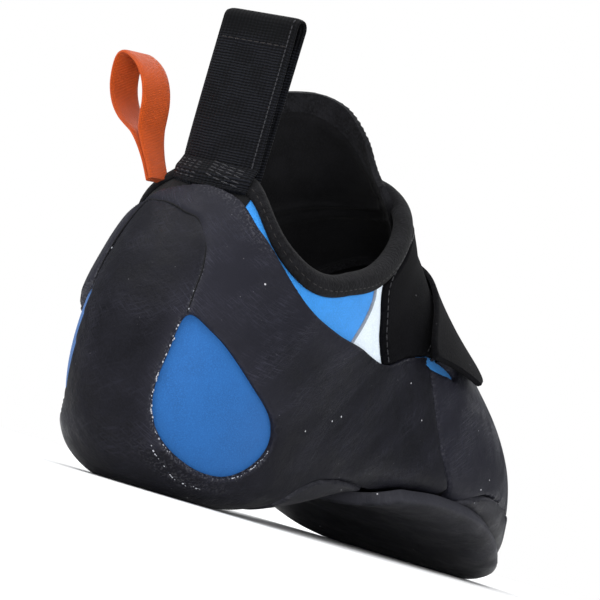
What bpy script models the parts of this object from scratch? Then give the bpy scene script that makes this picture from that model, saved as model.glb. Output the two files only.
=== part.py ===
"""Climbing shoe for the right foot: a downturned slip-on with rubber rands and an instep strap.

Every piece is worked out from one form, the outer face of the upper. The form is a loft of
closed rings: each ring is a slanted section that runs from a point on the sole line to a point
on the instep line, from the collar down round the heel and on to the toe. A place on the form
is given by its row (0 above the collar, LAST_ROW at the start of the toe cap, one more at the
tip) and by its turn (0 on the heel and sole line, 0.25 on the outer side, 0.5 on the instep
and 0.75 on the inner side). Overlays are layers between two distances from the form.

Metres, +Z up, +Y to the toe, +X to the outer side. The floor is z = 0, and the origin lies on it
in the middle of the spot that the heel rests on.
"""
import math

import bmesh
import bpy
import numpy as np

PART_NAME = "climbing_shoe"

# Driving dimensions
LENGTH = 0.245
BALL_WIDTH = 0.092
HEEL_WIDTH = 0.062
INSTEP_HEIGHT = 0.104
HEEL_REST = 0.028

# Walls and clearances
UPPER_WALL = 0.0020
INSOLE_THICKNESS = 0.0016
TONGUE_THICKNESS = 0.0018
BINDING_THICKNESS = 0.0014
BINDING_WIDTH = 0.0055
RUBBER_THICKNESS = 0.0018
SOLE_RAND_THICKNESS = 0.0024
OUTSOLE_THICKNESS = 0.0040
STRAP_THICKNESS = 0.0016
CLEARANCE = 0.0003
OUTSOLE_INSET = 0.0015

# Pull loops
WEBBING_WIDTH = 0.0235
WEBBING_THICKNESS = 0.0014
WEBBING_RISE = 0.044
WEBBING_FOOT = 0.007
WEBBING_SHIFT = -0.0028
WEBBING_FOLD = 1.15
WEBBING_EASE = 0.7
RIBBON_WIDTH = 0.0080
RIBBON_THICKNESS = 0.0012
RIBBON_LOOP_LENGTH = 0.036
RIBBON_LOOP_WIDTH = 0.0155
RIBBON_LEAN = math.radians(31)
SIDE_LOOP_ROW = 1.62
SIDE_LOOP_TURN = 0.890

# One row for each section of the form. sole and top are the ends of the slanted section:
# y as a share of LENGTH from the back of the heel, and z as a share of INSTEP_HEIGHT. HEEL_REST
# is how far in front of that back the origin lies. ball says which width rules
# (0 the heel's, 1 the ball's), outer and inner are half widths as shares of it, ridge is the
# sideways shift of the instep line as a share of BALL_WIDTH, flat and crown are the exponents
# of the lower and upper half of the section, and level is where the section is widest.
SECTION_COLUMNS = ("sole_y", "sole_z", "top_y", "top_z", "ball", "outer", "inner",
                   "ridge", "flat", "crown", "level")
SECTIONS = np.array([
    (0.112, 0.960, 0.335, 1.225, 0.0, 0.400, 0.400, -0.04, 2.3, 2.1, 0.50),
    (0.090, 0.830, 0.382, 1.060, 0.0, 0.420, 0.420, -0.02, 2.3, 2.1, 0.50),
    (0.047, 0.690, 0.408, 1.010, 0.0, 0.450, 0.450, 0.00, 2.4, 2.1, 0.48),
    (0.016, 0.530, 0.432, 0.985, 0.0, 0.480, 0.480, 0.00, 2.5, 2.1, 0.46),
    (0.001, 0.360, 0.455, 0.963, 0.0, 0.500, 0.500, 0.00, 2.6, 2.1, 0.43),
    (0.009, 0.180, 0.477, 0.940, 0.0, 0.510, 0.510, 0.00, 2.6, 2.1, 0.40),
    (0.054, 0.042, 0.498, 0.912, 0.0, 0.510, 0.510, 0.00, 2.8, 2.1, 0.37),
    (0.124, 0.006, 0.520, 0.882, 0.1, 0.500, 0.475, 0.00, 3.2, 2.1, 0.35),
    (0.215, 0.046, 0.545, 0.830, 0.3, 0.480, 0.385, 0.00, 3.4, 2.1, 0.34),
    (0.330, 0.138, 0.580, 0.762, 0.6, 0.470, 0.310, -0.01, 3.6, 2.1, 0.33),
    (0.435, 0.186, 0.625, 0.688, 0.9, 0.480, 0.310, -0.03, 4.0, 2.1, 0.31),
    (0.540, 0.190, 0.680, 0.604, 1.0, 0.500, 0.365, -0.05, 4.4, 2.1, 0.30),
    (0.635, 0.158, 0.735, 0.515, 1.0, 0.492, 0.430, -0.07, 4.8, 2.2, 0.30),
    (0.718, 0.106, 0.788, 0.448, 1.0, 0.452, 0.452, -0.09, 5.0, 2.2, 0.31),
    (0.780, 0.072, 0.830, 0.403, 1.0, 0.398, 0.436, -0.11, 4.8, 2.2, 0.33),
    (0.832, 0.058, 0.867, 0.368, 1.0, 0.330, 0.402, -0.13, 4.4, 2.2, 0.35),
])
LAST_ROW = len(SECTIONS) - 1
TOE_REACH = 0.132
TOE_TIP_X = -0.16
TOE_TIP_LEVEL = 0.44
TOE_DROP = 0.15
TOE_START = 0.42
TOE_ROUNDNESS_OUTER = 1.9
TOE_ROUNDNESS_INNER = 2.4

# The collar's rim: turn, row
RIM = np.array([
    (0.000, 1.00),
    (0.055, 1.15),
    (0.140, 2.35),
    (0.200, 3.10),
    (0.245, 3.50),
    (0.290, 3.75),
    (0.330, 3.50),
    (0.390, 2.55),
    (0.450, 1.75),
    (0.520, 1.35),
    (0.600, 1.45),
    (0.690, 2.20),
    (0.760, 2.75),
    (0.830, 2.15),
    (0.930, 0.98),
])

# The tongue's upper edge from the outer to the inner side: turn, row
TONGUE_TOP = np.array([
    (0.400, 1.30),
    (0.440, 0.62),
    (0.500, 0.20),
    (0.570, 0.02),
    (0.640, 0.02),
    (0.700, 0.25),
    (0.755, 0.85),
    (0.800, 1.80),
])
TONGUE_FOOT_ROW = 7.5

# Edges seen from the side: y as a share of LENGTH from the back of the heel, z as a share of
# INSTEP_HEIGHT
RUBBER_EDGE = np.array([
    (-0.060, 0.770),
    (0.060, 0.765),
    (0.068, 0.690),
    (0.092, 0.600),
    (0.132, 0.545),
    (0.196, 0.520),
    (0.262, 0.515),
    (0.335, 0.500),
    (0.395, 0.545),
    (0.450, 0.572),
])
FLANK_SEAM = np.array([
    (0.450, 0.572),
    (0.452, 0.470),
    (0.460, 0.380),
    (0.478, 0.290),
    (0.520, 0.215),
])
CREASE = np.array([
    (0.188, -0.100),
    (0.192, 0.030),
    (0.205, 0.100),
    (0.232, 0.145),
    (0.275, 0.168),
    (0.330, 0.178),
    (0.400, 0.186),
    (0.465, 0.198),
    (0.520, 0.215),
    (0.600, 0.255),
    (0.700, 0.235),
    (0.820, 0.200),
    (0.930, 0.195),
    (1.080, 0.195),
])
TOE_PATCH_EDGE = np.array([
    (0.450, 0.572),
    (0.500, 0.590),
    (0.545, 0.635),
    (0.585, 0.730),
    (0.610, 0.900),
])
STRAP_REAR_EDGE = np.array([
    (0.335, 0.500),
    (0.310, 0.600),
    (0.290, 0.715),
    (0.345, 0.850),
    (0.425, 0.945),
    (0.475, 1.020),
    (0.500, 1.100),
])
STRAP_FRONT_EDGE = np.array([
    (0.620, 1.100),
    (0.560, 0.900),
    (0.520, 0.760),
    (0.492, 0.660),
    (0.450, 0.572),
])

# Drop-shaped window in the heel rubber: row, turn. On the inner side it sits a little further
# forward, by WINDOW_INNER_SHIFT of a turn.
WINDOW_INNER_SHIFT = 0.030
WINDOW = np.array([
    (3.62, 0.052),
    (3.88, 0.090),
    (4.32, 0.127),
    (4.90, 0.161),
    (5.55, 0.186),
    (6.02, 0.182),
    (6.25, 0.152),
    (6.21, 0.114),
    (5.75, 0.074),
    (5.28, 0.046),
    (4.75, 0.038),
    (4.20, 0.043),
])

# The outsole's rear edge and the strap tab, as rows and turns of the form
OUTSOLE_REAR_ROW = 9.05
REAR_BOW = 0.009
TAB_ROWS = (7.6, 9.9)
TAB_TURNS = (0.322, 0.585)
TAB_LIFT = 0.0040

# Rows where the pieces on the shared grid start or end
LASTING_OPENING_ROWS = (7.6, 14.6)
INSOLE_START_ROW = 7.0
HEEL_RAND_END_ROW = 12.5
TOE_PATCH_START_ROW = 8.0
SOLE_RAND_START_ROW = 6.5
STRAP_END_ROW = 11.0

# Density of the facets
TURNS = 30
BELOW_BINDING = 2
INSOLE_COLUMNS = 3
OPENING_COLUMNS = 2
COLLAR_RINGS = 6
SHARED_ROW = 6.5
BODY_RINGS = 12
TOE_RINGS = 5

COLOURS = {
    "upper": (0.036, 0.150, 0.420, 1.0),
    "lining": (0.012, 0.012, 0.014, 1.0),
    "rubber": (0.022, 0.022, 0.027, 1.0),
    "webbing": (0.013, 0.013, 0.016, 1.0),
    "orange": (0.560, 0.085, 0.012, 1.0),
    "board": (0.180, 0.160, 0.130, 1.0),
}


def reset_scene():
    """Remove the objects that a new file starts with."""
    for thing in list(bpy.data.objects):
        bpy.data.objects.remove(thing, do_unlink=True)


def smooth_rows(table, at):
    """Catmull-Rom curve through the rows of a table, read at fractional row numbers."""
    at = np.clip(np.asarray(at, float), 0.0, len(table) - 1.0)
    low = np.minimum(at.astype(int), len(table) - 2)
    share = (at - low)[..., None]
    before = table[np.maximum(low - 1, 0)]
    start = table[low]
    end = table[low + 1]
    after = table[np.minimum(low + 2, len(table) - 1)]
    leave = (end - before) / 2
    arrive = (after - start) / 2
    square = share ** 2
    cube = share ** 3
    return ((2 * cube - 3 * square + 1) * start + (cube - 2 * square + share) * leave
            + (3 * square - 2 * cube) * end + (cube - square) * arrive)


def section_points(row, turn):
    """Points of the slanted sections: a superellipse on each side of its widest line."""
    columns = np.moveaxis(smooth_rows(SECTIONS, row), -1, 0)
    sole_y, sole_z, top_y, top_z, ball, outer, inner, ridge, flat, crown, level = columns
    angle = 2 * math.pi * turn
    upward = -np.cos(angle)
    sideways = np.sin(angle)
    exponent = 2 / np.where(upward < 0, flat, crown)
    reach = np.where(sideways > 0, outer, inner) * (HEEL_WIDTH * (1 - ball) + BALL_WIDTH * ball)
    height = np.sign(upward) * np.abs(upward) ** exponent
    share = np.where(height < 0, level * (1 + height), level + (1 - level) * height)
    across = reach * np.sign(sideways) * np.abs(sideways) ** exponent
    return np.stack([
        across + ridge * BALL_WIDTH * share,
        (sole_y + (top_y - sole_y) * share) * LENGTH - HEEL_REST,
        (sole_z + (top_z - sole_z) * share) * INSTEP_HEIGHT,
    ], -1)


def toe_tip():
    """Where the toe cap starts from, and how far it goes beyond that."""
    last = dict(zip(SECTION_COLUMNS, SECTIONS[-1]))
    level = last["sole_z"] + (last["top_z"] - last["sole_z"]) * TOE_TIP_LEVEL
    centre = np.array([
        TOE_TIP_X * BALL_WIDTH,
        (last["sole_y"] + last["top_y"]) / 2 * LENGTH - HEEL_REST,
        level * INSTEP_HEIGHT,
    ])
    return centre, np.array([0.0, 1.0, -TOE_DROP]) * TOE_REACH * LENGTH


def form(row, turn):
    """The outer face of the upper: sections, then a toe cap that shrinks them to the tip.

    The cap is the end of a superellipse that starts TOE_START of the way to its tip."""
    row, turn = np.broadcast_arrays(np.asarray(row, float), np.asarray(turn, float))
    base = section_points(np.minimum(row, LAST_ROW), turn)
    along = np.clip(row - LAST_ROW, 0.0, 1.0)[..., None]
    centre, reach = toe_tip()
    outward = (1 + np.sin(2 * math.pi * turn)[..., None]) / 2
    roundness = TOE_ROUNDNESS_INNER + (TOE_ROUNDNESS_OUTER - TOE_ROUNDNESS_INNER) * outward
    around_cap = TOE_START + (1 - TOE_START) * along
    shrink = ((1 - around_cap ** roundness) / (1 - TOE_START ** roundness)) ** (1 / roundness)
    return np.where(along > 0, centre + (base - centre) * shrink + reach * along, base)


def form_normals(row, turn):
    """Outward directions of the form, from small steps along it and around it."""
    step = 1e-3
    row, turn = np.broadcast_arrays(np.asarray(row, float), np.asarray(turn, float))
    row = np.clip(row, step, LAST_ROW + 0.985)
    lengthwise = form(row + step, turn) - form(row - step, turn)
    around = form(row, turn + step) - form(row, turn - step)
    outward = np.cross(lengthwise, around)
    return outward / np.linalg.norm(outward, axis=-1, keepdims=True)


def off_form(row, turn, distance):
    """Points at a distance outside the form (negative is inside), never below the floor."""
    points = form(row, turn) + form_normals(row, turn) * np.asarray(distance)[..., None]
    points[..., 2] = np.maximum(points[..., 2], 0.0)
    return points


def rim_row(turn):
    """Row of the collar's rim at each turn, on one smooth closed curve."""
    table = np.vstack([RIM, RIM[:1] + (1.0, 0.0)])
    return np.interp(turn, *closed_samples(table))


def closed_samples(table, steps=12):
    """A closed Catmull-Rom curve through a table's rows, as two lists of samples."""
    body = table[:-1]
    count = len(body)
    at = np.linspace(0, count, count * steps + 1)
    period = table[-1] - table[0]
    wrapped = np.vstack([body[-2:] - period, body, body[:3] + period])
    samples = smooth_rows(wrapped, at + 2)
    return samples[:, 0], samples[:, 1]


def ring_rows():
    """Row of each ring of the shared grid at each turn, from the rim to the toe."""
    turn = np.arange(TURNS) / TURNS
    rim = rim_row(turn)
    pitch = np.linalg.norm(form(rim + 0.01, turn) - form(rim, turn), axis=-1) / 0.01
    band_end = rim + BINDING_WIDTH / pitch
    next_start = band_end + CLEARANCE / pitch
    rings = [rim, band_end, next_start]
    for step in range(1, COLLAR_RINGS + 1):
        share = step / COLLAR_RINGS
        rings.append(next_start + (SHARED_ROW - next_start) * share)
    for row in np.linspace(SHARED_ROW, LAST_ROW, BODY_RINGS + 1)[1:]:
        rings.append(np.full(TURNS, row))
    for step in range(1, TOE_RINGS + 1):
        rings.append(np.full(TURNS, LAST_ROW + math.sin(math.pi / 2 * step / (TOE_RINGS + 1)) ** 1.3))
    return np.array(rings), np.broadcast_to(turn, (len(rings), TURNS))


def material(name):
    """One plain material, made once for each colour."""
    found = bpy.data.materials.get(name)
    if found:
        return found
    made = bpy.data.materials.new(name)
    made.use_nodes = True
    shader = made.node_tree.nodes["Principled BSDF"]
    shader.inputs["Base Color"].default_value = COLOURS[name]
    shader.inputs["Roughness"].default_value = 0.7
    shader.inputs["Metallic"].default_value = 0.0
    made.diffuse_color = COLOURS[name]
    return made


def add_object(name, points, faces, colour, group):
    """A mesh object from points and faces, with faces turned outwards."""
    mesh = bpy.data.meshes.new(name)
    mesh.from_pydata([tuple(point) for point in points], [], faces)
    mesh.shade_smooth()
    work = bmesh.new()
    work.from_mesh(mesh)
    bmesh.ops.remove_doubles(work, verts=work.verts, dist=1e-7)
    bmesh.ops.recalc_face_normals(work, faces=work.faces)
    work.to_mesh(mesh)
    work.free()
    thing = bpy.data.objects.new(name, mesh)
    if colour:
        mesh.materials.append(material(colour))
    group.objects.link(thing)
    return thing


def shell(name, cells, inner, outer, colour, group, rings):
    """Closed layer over the chosen cells of the shared grid, between two distances.

    A cell of the last ring is a triangle that ends at the tip of the toe."""
    rows, turns = rings
    ring_count = rows.shape[0]
    centre, reach = toe_tip()
    forward = reach / np.linalg.norm(reach)
    points = []
    for side in (inner, outer):
        points.append(off_form(rows, turns, np.full(rows.shape, side)).reshape(-1, 3))
        points.append([centre + reach + forward * side])
    points = np.vstack(points)
    lift = ring_count * TURNS + 1
    tip = lift - 1
    faces = []
    for ring, column in zip(*np.nonzero(cells)):
        after = (column + 1) % TURNS
        a = ring * TURNS + column
        b = ring * TURNS + after
        c = b + TURNS if ring < ring_count - 1 else tip
        d = a + TURNS if ring < ring_count - 1 else tip
        faces += [(a + lift, b + lift, c + lift), (a, c, b)]
        if c != d:
            faces += [(a + lift, c + lift, d + lift), (a, d, c)]
        sides = (
            (a, b, ring - 1, column),
            (b, c, ring, after),
            (c, d, ring + 1, column),
            (d, a, ring, (column - 1) % TURNS),
        )
        for start, end, beside_ring, beside_column in sides:
            inside = 0 <= beside_ring < ring_count
            if start != end and not (inside and cells[beside_ring, beside_column]):
                faces.append((start + lift, start, end, end + lift))
    used = sorted({corner for face in faces for corner in face})
    renumbered = {old: new for new, old in enumerate(used)}
    faces = [tuple(renumbered[corner] for corner in face) for face in faces]
    return add_object(name, points[used], faces, colour, group)


def grid_solid(name, front, back, colour, group):
    """Closed solid between two grids of points of the same size."""
    rows, columns = front.shape[:2]
    points = np.vstack([front.reshape(-1, 3), back.reshape(-1, 3)])
    lift = rows * columns
    faces = []
    for i in range(rows - 1):
        for j in range(columns - 1):
            a = i * columns + j
            b = a + 1
            c = b + columns
            d = a + columns
            faces += [(a, b, c), (a, c, d)]
            faces += [(a + lift, c + lift, b + lift), (a + lift, d + lift, c + lift)]
    border = list(range(columns))
    border += [i * columns + columns - 1 for i in range(1, rows)]
    border += [(rows - 1) * columns + j for j in range(columns - 2, -1, -1)]
    border += [i * columns for i in range(rows - 2, 0, -1)]
    for here, there in zip(border, border[1:] + border[:1]):
        faces.append((here, here + lift, there + lift, there))
    return add_object(name, points, faces, colour, group)


def edge_curve(table, steps=3):
    """A smooth edge seen from the side, in metres, through a table's rows."""
    at = np.linspace(0, len(table) - 1, (len(table) - 1) * steps + 1)
    return smooth_rows(table, at) * (LENGTH, INSTEP_HEIGHT) - (HEEL_REST, 0.0)


def shifted(curve, distance):
    """A curve moved sideways by a distance, to the left of its direction."""
    along = np.gradient(curve, axis=0)
    along /= np.linalg.norm(along, axis=1, keepdims=True)
    return curve + np.stack([-along[:, 1], along[:, 0]], -1) * distance


def side_prism(name, outline, group):
    """A closed outline in y and z, drawn out to both sides of the shoe."""
    half = BALL_WIDTH
    work = bmesh.new()
    corners = [work.verts.new((-half, y, z)) for y, z in outline]
    face = work.faces.new(corners)
    drawn = bmesh.ops.extrude_face_region(work, geom=[face])
    moved = [item for item in drawn["geom"] if isinstance(item, bmesh.types.BMVert)]
    bmesh.ops.translate(work, verts=moved, vec=(2 * half, 0, 0))
    bmesh.ops.recalc_face_normals(work, faces=work.faces)
    return cutter_object(name, work, group)


def plan_prism(name, outline, group):
    """A closed outline in x and y, drawn out from below the floor to above the instep."""
    work = bmesh.new()
    corners = [work.verts.new((x, y, -INSTEP_HEIGHT / 2)) for x, y in outline]
    face = work.faces.new(corners)
    drawn = bmesh.ops.extrude_face_region(work, geom=[face])
    moved = [item for item in drawn["geom"] if isinstance(item, bmesh.types.BMVert)]
    bmesh.ops.translate(work, verts=moved, vec=(0, 0, INSTEP_HEIGHT))
    bmesh.ops.recalc_face_normals(work, faces=work.faces)
    return cutter_object(name, work, group)


def cutter_object(name, work, group):
    """A hidden object from a finished bmesh."""
    mesh = bpy.data.meshes.new(name)
    work.to_mesh(mesh)
    work.free()
    thing = bpy.data.objects.new(name, mesh)
    thing.hide_render = True
    thing.display_type = "WIRE"
    group.objects.link(thing)
    return thing


def window_plug(name, mirrored, group):
    """A drop-shaped plug through the heel rubber, lofted along the form's own normals."""
    count = len(WINDOW)
    at = np.linspace(0, count, count * 2 + 1)[:-1]
    wrapped = np.vstack([WINDOW[-2:], WINDOW, WINDOW[:3]])
    outline = smooth_rows(wrapped, at + 2)
    row, turn = outline[:, 0], outline[:, 1]
    turn = 1 - WINDOW_INNER_SHIFT - turn if mirrored else turn
    depth = RUBBER_THICKNESS
    low = form(row, turn) - form_normals(row, turn) * depth
    high = form(row, turn) + form_normals(row, turn) * 4 * depth
    middle = np.array([np.mean(row), np.mean(turn)])
    direction = form_normals(*middle)
    centres = [form(*middle) - direction * 6 * depth, form(*middle) + direction * 10 * depth]
    points = np.vstack([low, high, centres])
    total = len(row)
    faces = []
    for here in range(total):
        there = (here + 1) % total
        faces.append((here, there, there + total, here + total))
        faces.append((there, here, 2 * total))
        faces.append((here + total, there + total, 2 * total + 1))
    thing = add_object(name, points, faces, None, group)
    thing.hide_render = True
    thing.display_type = "WIRE"
    return thing


def cut(thing, cutter, operation):
    """Add an exact boolean to an object."""
    change = thing.modifiers.new(f"{operation.lower()} {cutter.name}", "BOOLEAN")
    change.operation = operation
    change.solver = "EXACT"
    change.object = cutter


def turn_between(low, high):
    """Cells whose middle lies between two turns, counted from -0.5 to 0.5."""
    middle = (np.arange(TURNS) + 0.5) / TURNS
    signed = (middle + 0.5) % 1.0 - 0.5
    return (signed > low) & (signed < high)


def cells_between(rings, first_ring, last_ring, low, high):
    """Cells from one ring to another, between two signed turns."""
    chosen = np.zeros((rings[0].shape[0], TURNS), bool)
    chosen[first_ring:last_ring] = turn_between(low, high)
    return chosen


def ring_at(rings, row):
    """Index of the last ring that starts no later than a row."""
    return int(np.nonzero(rings[0].max(axis=1) <= row)[0][-1])


def make_upper(group, rings):
    """The hollow sock: all cells but those of the lasting opening underneath."""
    ring_count = rings[0].shape[0]
    cells = np.ones((ring_count, TURNS), bool)
    half = OPENING_COLUMNS / TURNS
    first, last = (ring_at(rings, row) for row in LASTING_OPENING_ROWS)
    opening = turn_between(-half, half)
    cells[first:last, opening] = False
    return shell("upper", cells, -UPPER_WALL, 0.0, "upper", group, rings)


def make_insole(group, rings):
    """A board inside the upper, over the lasting opening and onto the margin around it."""
    half = INSOLE_COLUMNS / TURNS
    cells = cells_between(rings, ring_at(rings, INSOLE_START_ROW), ring_at(rings, LAST_ROW) + 2,
                          -half, half)
    top = -(UPPER_WALL + CLEARANCE + INSOLE_THICKNESS)
    return shell("insole", cells, top, -(UPPER_WALL + CLEARANCE), "board", group, rings)


def make_tongue(group):
    """A lobe inside the front of the collar, from under the strap to above the rim."""
    turns = np.linspace(TONGUE_TOP[0, 0], TONGUE_TOP[-1, 0], 12)
    at = np.interp(turns, TONGUE_TOP[:, 0], np.arange(len(TONGUE_TOP)))
    top = smooth_rows(TONGUE_TOP, at)[:, 1]
    shares = np.linspace(0, 1, 8) ** 1.4
    rows = top[None, :] + (TONGUE_FOOT_ROW - top[None, :]) * shares[:, None]
    grid_turns = np.broadcast_to(turns, rows.shape)
    face = -(UPPER_WALL + 2 * CLEARANCE)
    front = off_form(rows, grid_turns, np.full(rows.shape, face))
    back = off_form(rows, grid_turns, np.full(rows.shape, face - TONGUE_THICKNESS))
    return grid_solid("tongue", front, back, "lining", group)


def make_binding(group, rings):
    """A band around the outside of the rim."""
    cells = np.zeros((rings[0].shape[0], TURNS), bool)
    cells[0] = True
    return shell("collar_binding", cells, CLEARANCE, CLEARANCE + BINDING_THICKNESS,
                 "lining", group, rings)


def make_rubber(group, cutters, rings):
    """Heel rand, toe patch and sole rand: one layer of rubber, parted along seam and crease."""
    gap = CLEARANCE / 2
    edge = edge_curve(RUBBER_EDGE)
    seam = edge_curve(FLANK_SEAM)
    crease = edge_curve(CREASE)
    split = int(np.argmin(np.linalg.norm(crease - seam[-1], axis=1)))
    below = -INSTEP_HEIGHT / 4
    outside = RUBBER_THICKNESS + CLEARANCE

    heel_crease = shifted(crease, gap)[:split + 1]
    heel_outline = np.vstack([
        edge,
        shifted(seam, -gap)[1:-1],
        heel_crease[::-1],
        [(heel_crease[0, 0], below), (edge[0, 0], below)],
    ])
    heel_cells = cells_between(rings, BELOW_BINDING, ring_at(rings, HEEL_RAND_END_ROW), -0.38, 0.38)
    heel = shell("heel_rand", heel_cells, CLEARANCE, outside, "rubber", group, rings)
    cut(heel, side_prism("cut heel rand", heel_outline, cutters), "INTERSECT")
    cut(heel, window_plug("cut outer window", False, cutters), "DIFFERENCE")
    cut(heel, window_plug("cut inner window", True, cutters), "DIFFERENCE")

    toe_crease = shifted(crease, gap)[split:]
    toe_edge = edge_curve(TOE_PATCH_EDGE)
    toe_outline = np.vstack([
        shifted(seam, gap)[::-1][1:-1],
        toe_edge,
        [(crease[-1, 0], toe_edge[-1, 1])],
        toe_crease[::-1],
    ])
    toe_cells = np.zeros((rings[0].shape[0], TURNS), bool)
    toe_cells[ring_at(rings, TOE_PATCH_START_ROW):] = True
    toe = shell("toe_patch", toe_cells, CLEARANCE, outside, "rubber", group, rings)
    cut(toe, side_prism("cut toe patch", toe_outline, cutters), "INTERSECT")

    low_crease = shifted(crease, -gap)
    rand_outline = np.vstack([
        low_crease,
        [(low_crease[-1, 0], below), (low_crease[0, 0], below)],
    ])
    rand_cells = np.zeros((rings[0].shape[0], TURNS), bool)
    rand_cells[ring_at(rings, SOLE_RAND_START_ROW):] = True
    rand = shell("sole_rand", rand_cells, CLEARANCE, CLEARANCE + SOLE_RAND_THICKNESS,
                 "rubber", group, rings)
    cut(rand, side_prism("cut sole rand", rand_outline, cutters), "INTERSECT")
    return heel, toe, rand


def make_outsole(group, cutters, rings):
    """A plate under the forefoot, trimmed to the shoe's widest line seen from above."""
    cells = cells_between(rings, ring_at(rings, OUTSOLE_REAR_ROW - 1.5), None, -0.24, 0.24)
    inside = 2 * CLEARANCE + SOLE_RAND_THICKNESS
    outsole = shell("outsole", cells, inside, inside + OUTSOLE_THICKNESS, "rubber", group,
                    rings)
    cut(outsole, plan_prism("cut outsole", plan_outline(), cutters), "INTERSECT")
    return outsole


def plan_outline():
    """The form's widest line from above, inset, closed by a bowed rear edge at the arch."""
    rows = np.concatenate([
        np.linspace(OUTSOLE_REAR_ROW, LAST_ROW, 12),
        LAST_ROW + np.sin(np.linspace(0, math.pi / 2, 8)[1:]) ** 1.3 * 0.97,
    ])
    outset = SOLE_RAND_THICKNESS - OUTSOLE_INSET
    sides = []
    for turn in (0.25, 0.75):
        outward = form_normals(rows, np.full(rows.shape, turn)) * (1.0, 1.0, 0.0)
        sides.append((form(rows, np.full(rows.shape, turn)) + outward * outset)[:, :2])
    outer, inner = sides
    centre, reach = toe_tip()
    tip = (centre + reach)[:2] + (0.0, outset)
    bow = np.linspace(0, math.pi, 7)[1:-1]
    middle = (outer[0] + inner[0]) / 2
    half = (inner[0] - outer[0]) / 2
    rear = [middle + half * -math.cos(angle) * 0.98 - (0.0, REAR_BOW * math.sin(angle))
            for angle in bow]
    return np.vstack([outer, [tip], inner[::-1], rear[::-1]])


def make_strap(group, cutters, rings):
    """The instep strap: a layer between a rear and a front edge, behind the rubber's edge."""
    cells = cells_between(rings, BELOW_BINDING, ring_at(rings, STRAP_END_ROW), -0.5, 0.5)
    cells[:, turn_between(-0.2, 0.2)] = False
    inside = CLEARANCE
    strap = shell("strap", cells, inside, inside + STRAP_THICKNESS, "lining", group, rings)
    rear = edge_curve(STRAP_REAR_EDGE)
    front = edge_curve(STRAP_FRONT_EDGE)
    edge = shifted(edge_curve(RUBBER_EDGE), CLEARANCE)
    foot = edge[(edge[:, 0] > rear[0, 0]) & (edge[:, 0] < front[-1, 0])]
    outline = np.vstack([rear, front, foot[::-1]])
    cut(strap, side_prism("cut strap", outline, cutters), "INTERSECT")
    return strap


def make_strap_tab(group):
    """The strap's free end: it lies over the strap's front and stands off at its outer end."""
    turns = np.linspace(TAB_TURNS[0], TAB_TURNS[1], 11)
    shares = np.linspace(0, 1, 4)
    rows, grid_turns = np.meshgrid(TAB_ROWS[0] + (TAB_ROWS[1] - TAB_ROWS[0]) * shares, turns,
                                   indexing="ij")
    free = np.clip(1 - (grid_turns - TAB_TURNS[0]) / (TAB_TURNS[1] - TAB_TURNS[0]) * 2, 0, 1)
    inside = STRAP_THICKNESS + 3 * CLEARANCE + TAB_LIFT * free ** 3
    high = off_form(rows, grid_turns, inside + STRAP_THICKNESS)
    low = off_form(rows, grid_turns, inside)
    return grid_solid("strap_tab", high, low, "lining", group)


def make_pull_loop(group):
    """Webbing over the back of the collar: an outer leg, a fold above the rim, an inner leg."""
    rim = RIM[0, 1]
    across = np.linspace(-0.5, 0.5, 7) * WEBBING_WIDTH + WEBBING_SHIFT
    search = np.linspace(-0.2, 0.2, 201)
    turns = np.interp(across, form(rim, search)[:, 0], search)
    outside = RUBBER_THICKNESS + 3 * CLEARANCE
    inside = -(UPPER_WALL + 3 * CLEARANCE)
    pitch = float(np.linalg.norm(form(rim + 0.01, 0.0) - form(rim, 0.0))) / 0.01
    foot = rim + WEBBING_FOOT / pitch
    top_z = float(form(rim, 0.0)[2]) + WEBBING_RISE

    def leg(face):
        low = off_form(np.full(turns.shape, foot), turns, np.full(turns.shape, face))
        high = off_form(np.full(turns.shape, rim - 4 * CLEARANCE / pitch), turns,
                        np.full(turns.shape, face))
        return low, high

    out_low, out_high = leg(outside)
    in_low, in_high = leg(inside)
    back = out_high[3, 1]
    front = in_high[3, 1]
    middle = (back + front) / 2
    fold = WEBBING_THICKNESS * WEBBING_FOLD
    levels = np.linspace(0, 1, 6)[1:]
    stations = [out_low, (out_low + out_high) / 2, out_high]
    for share in levels:
        flat = np.stack([across, np.full(7, middle - fold), np.full(7, 0.0)], -1)
        ease = share ** WEBBING_EASE
        point = out_high * (1 - ease) + flat * ease
        point[:, 2] = out_high[:, 2] * (1 - share) + (top_z - fold) * share
        stations.append(point)
    stations.append(np.stack([across, np.full(7, middle), np.full(7, top_z)], -1))
    for share in levels[::-1]:
        flat = np.stack([across, np.full(7, middle + fold), np.full(7, 0.0)], -1)
        ease = share ** WEBBING_EASE
        point = in_high * (1 - ease) + flat * ease
        point[:, 2] = in_high[:, 2] * (1 - share) + (top_z - fold) * share
        stations.append(point)
    stations += [in_high, (in_low + in_high) / 2, in_low]
    face = np.array(stations)
    lengthwise = np.gradient(face, axis=0)
    sideways = np.gradient(face, axis=1)
    outward = np.cross(sideways, lengthwise)
    outward /= np.linalg.norm(outward, axis=-1, keepdims=True)
    return grid_solid("pull_loop", face + outward * WEBBING_THICKNESS, face, "webbing", group)


def drop_outline(length, width, foot, count):
    """A drop standing on its point: height follows 1 - cos, width narrows towards the foot."""
    angle = np.linspace(0, 2 * math.pi, count + 1)[:-1]
    side = np.sin(angle) * np.sin(angle / 2) ** 1.1 * width / 2 * 1.18
    return np.stack([side, foot + (1 - np.cos(angle)) / 2 * length], -1)


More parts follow.
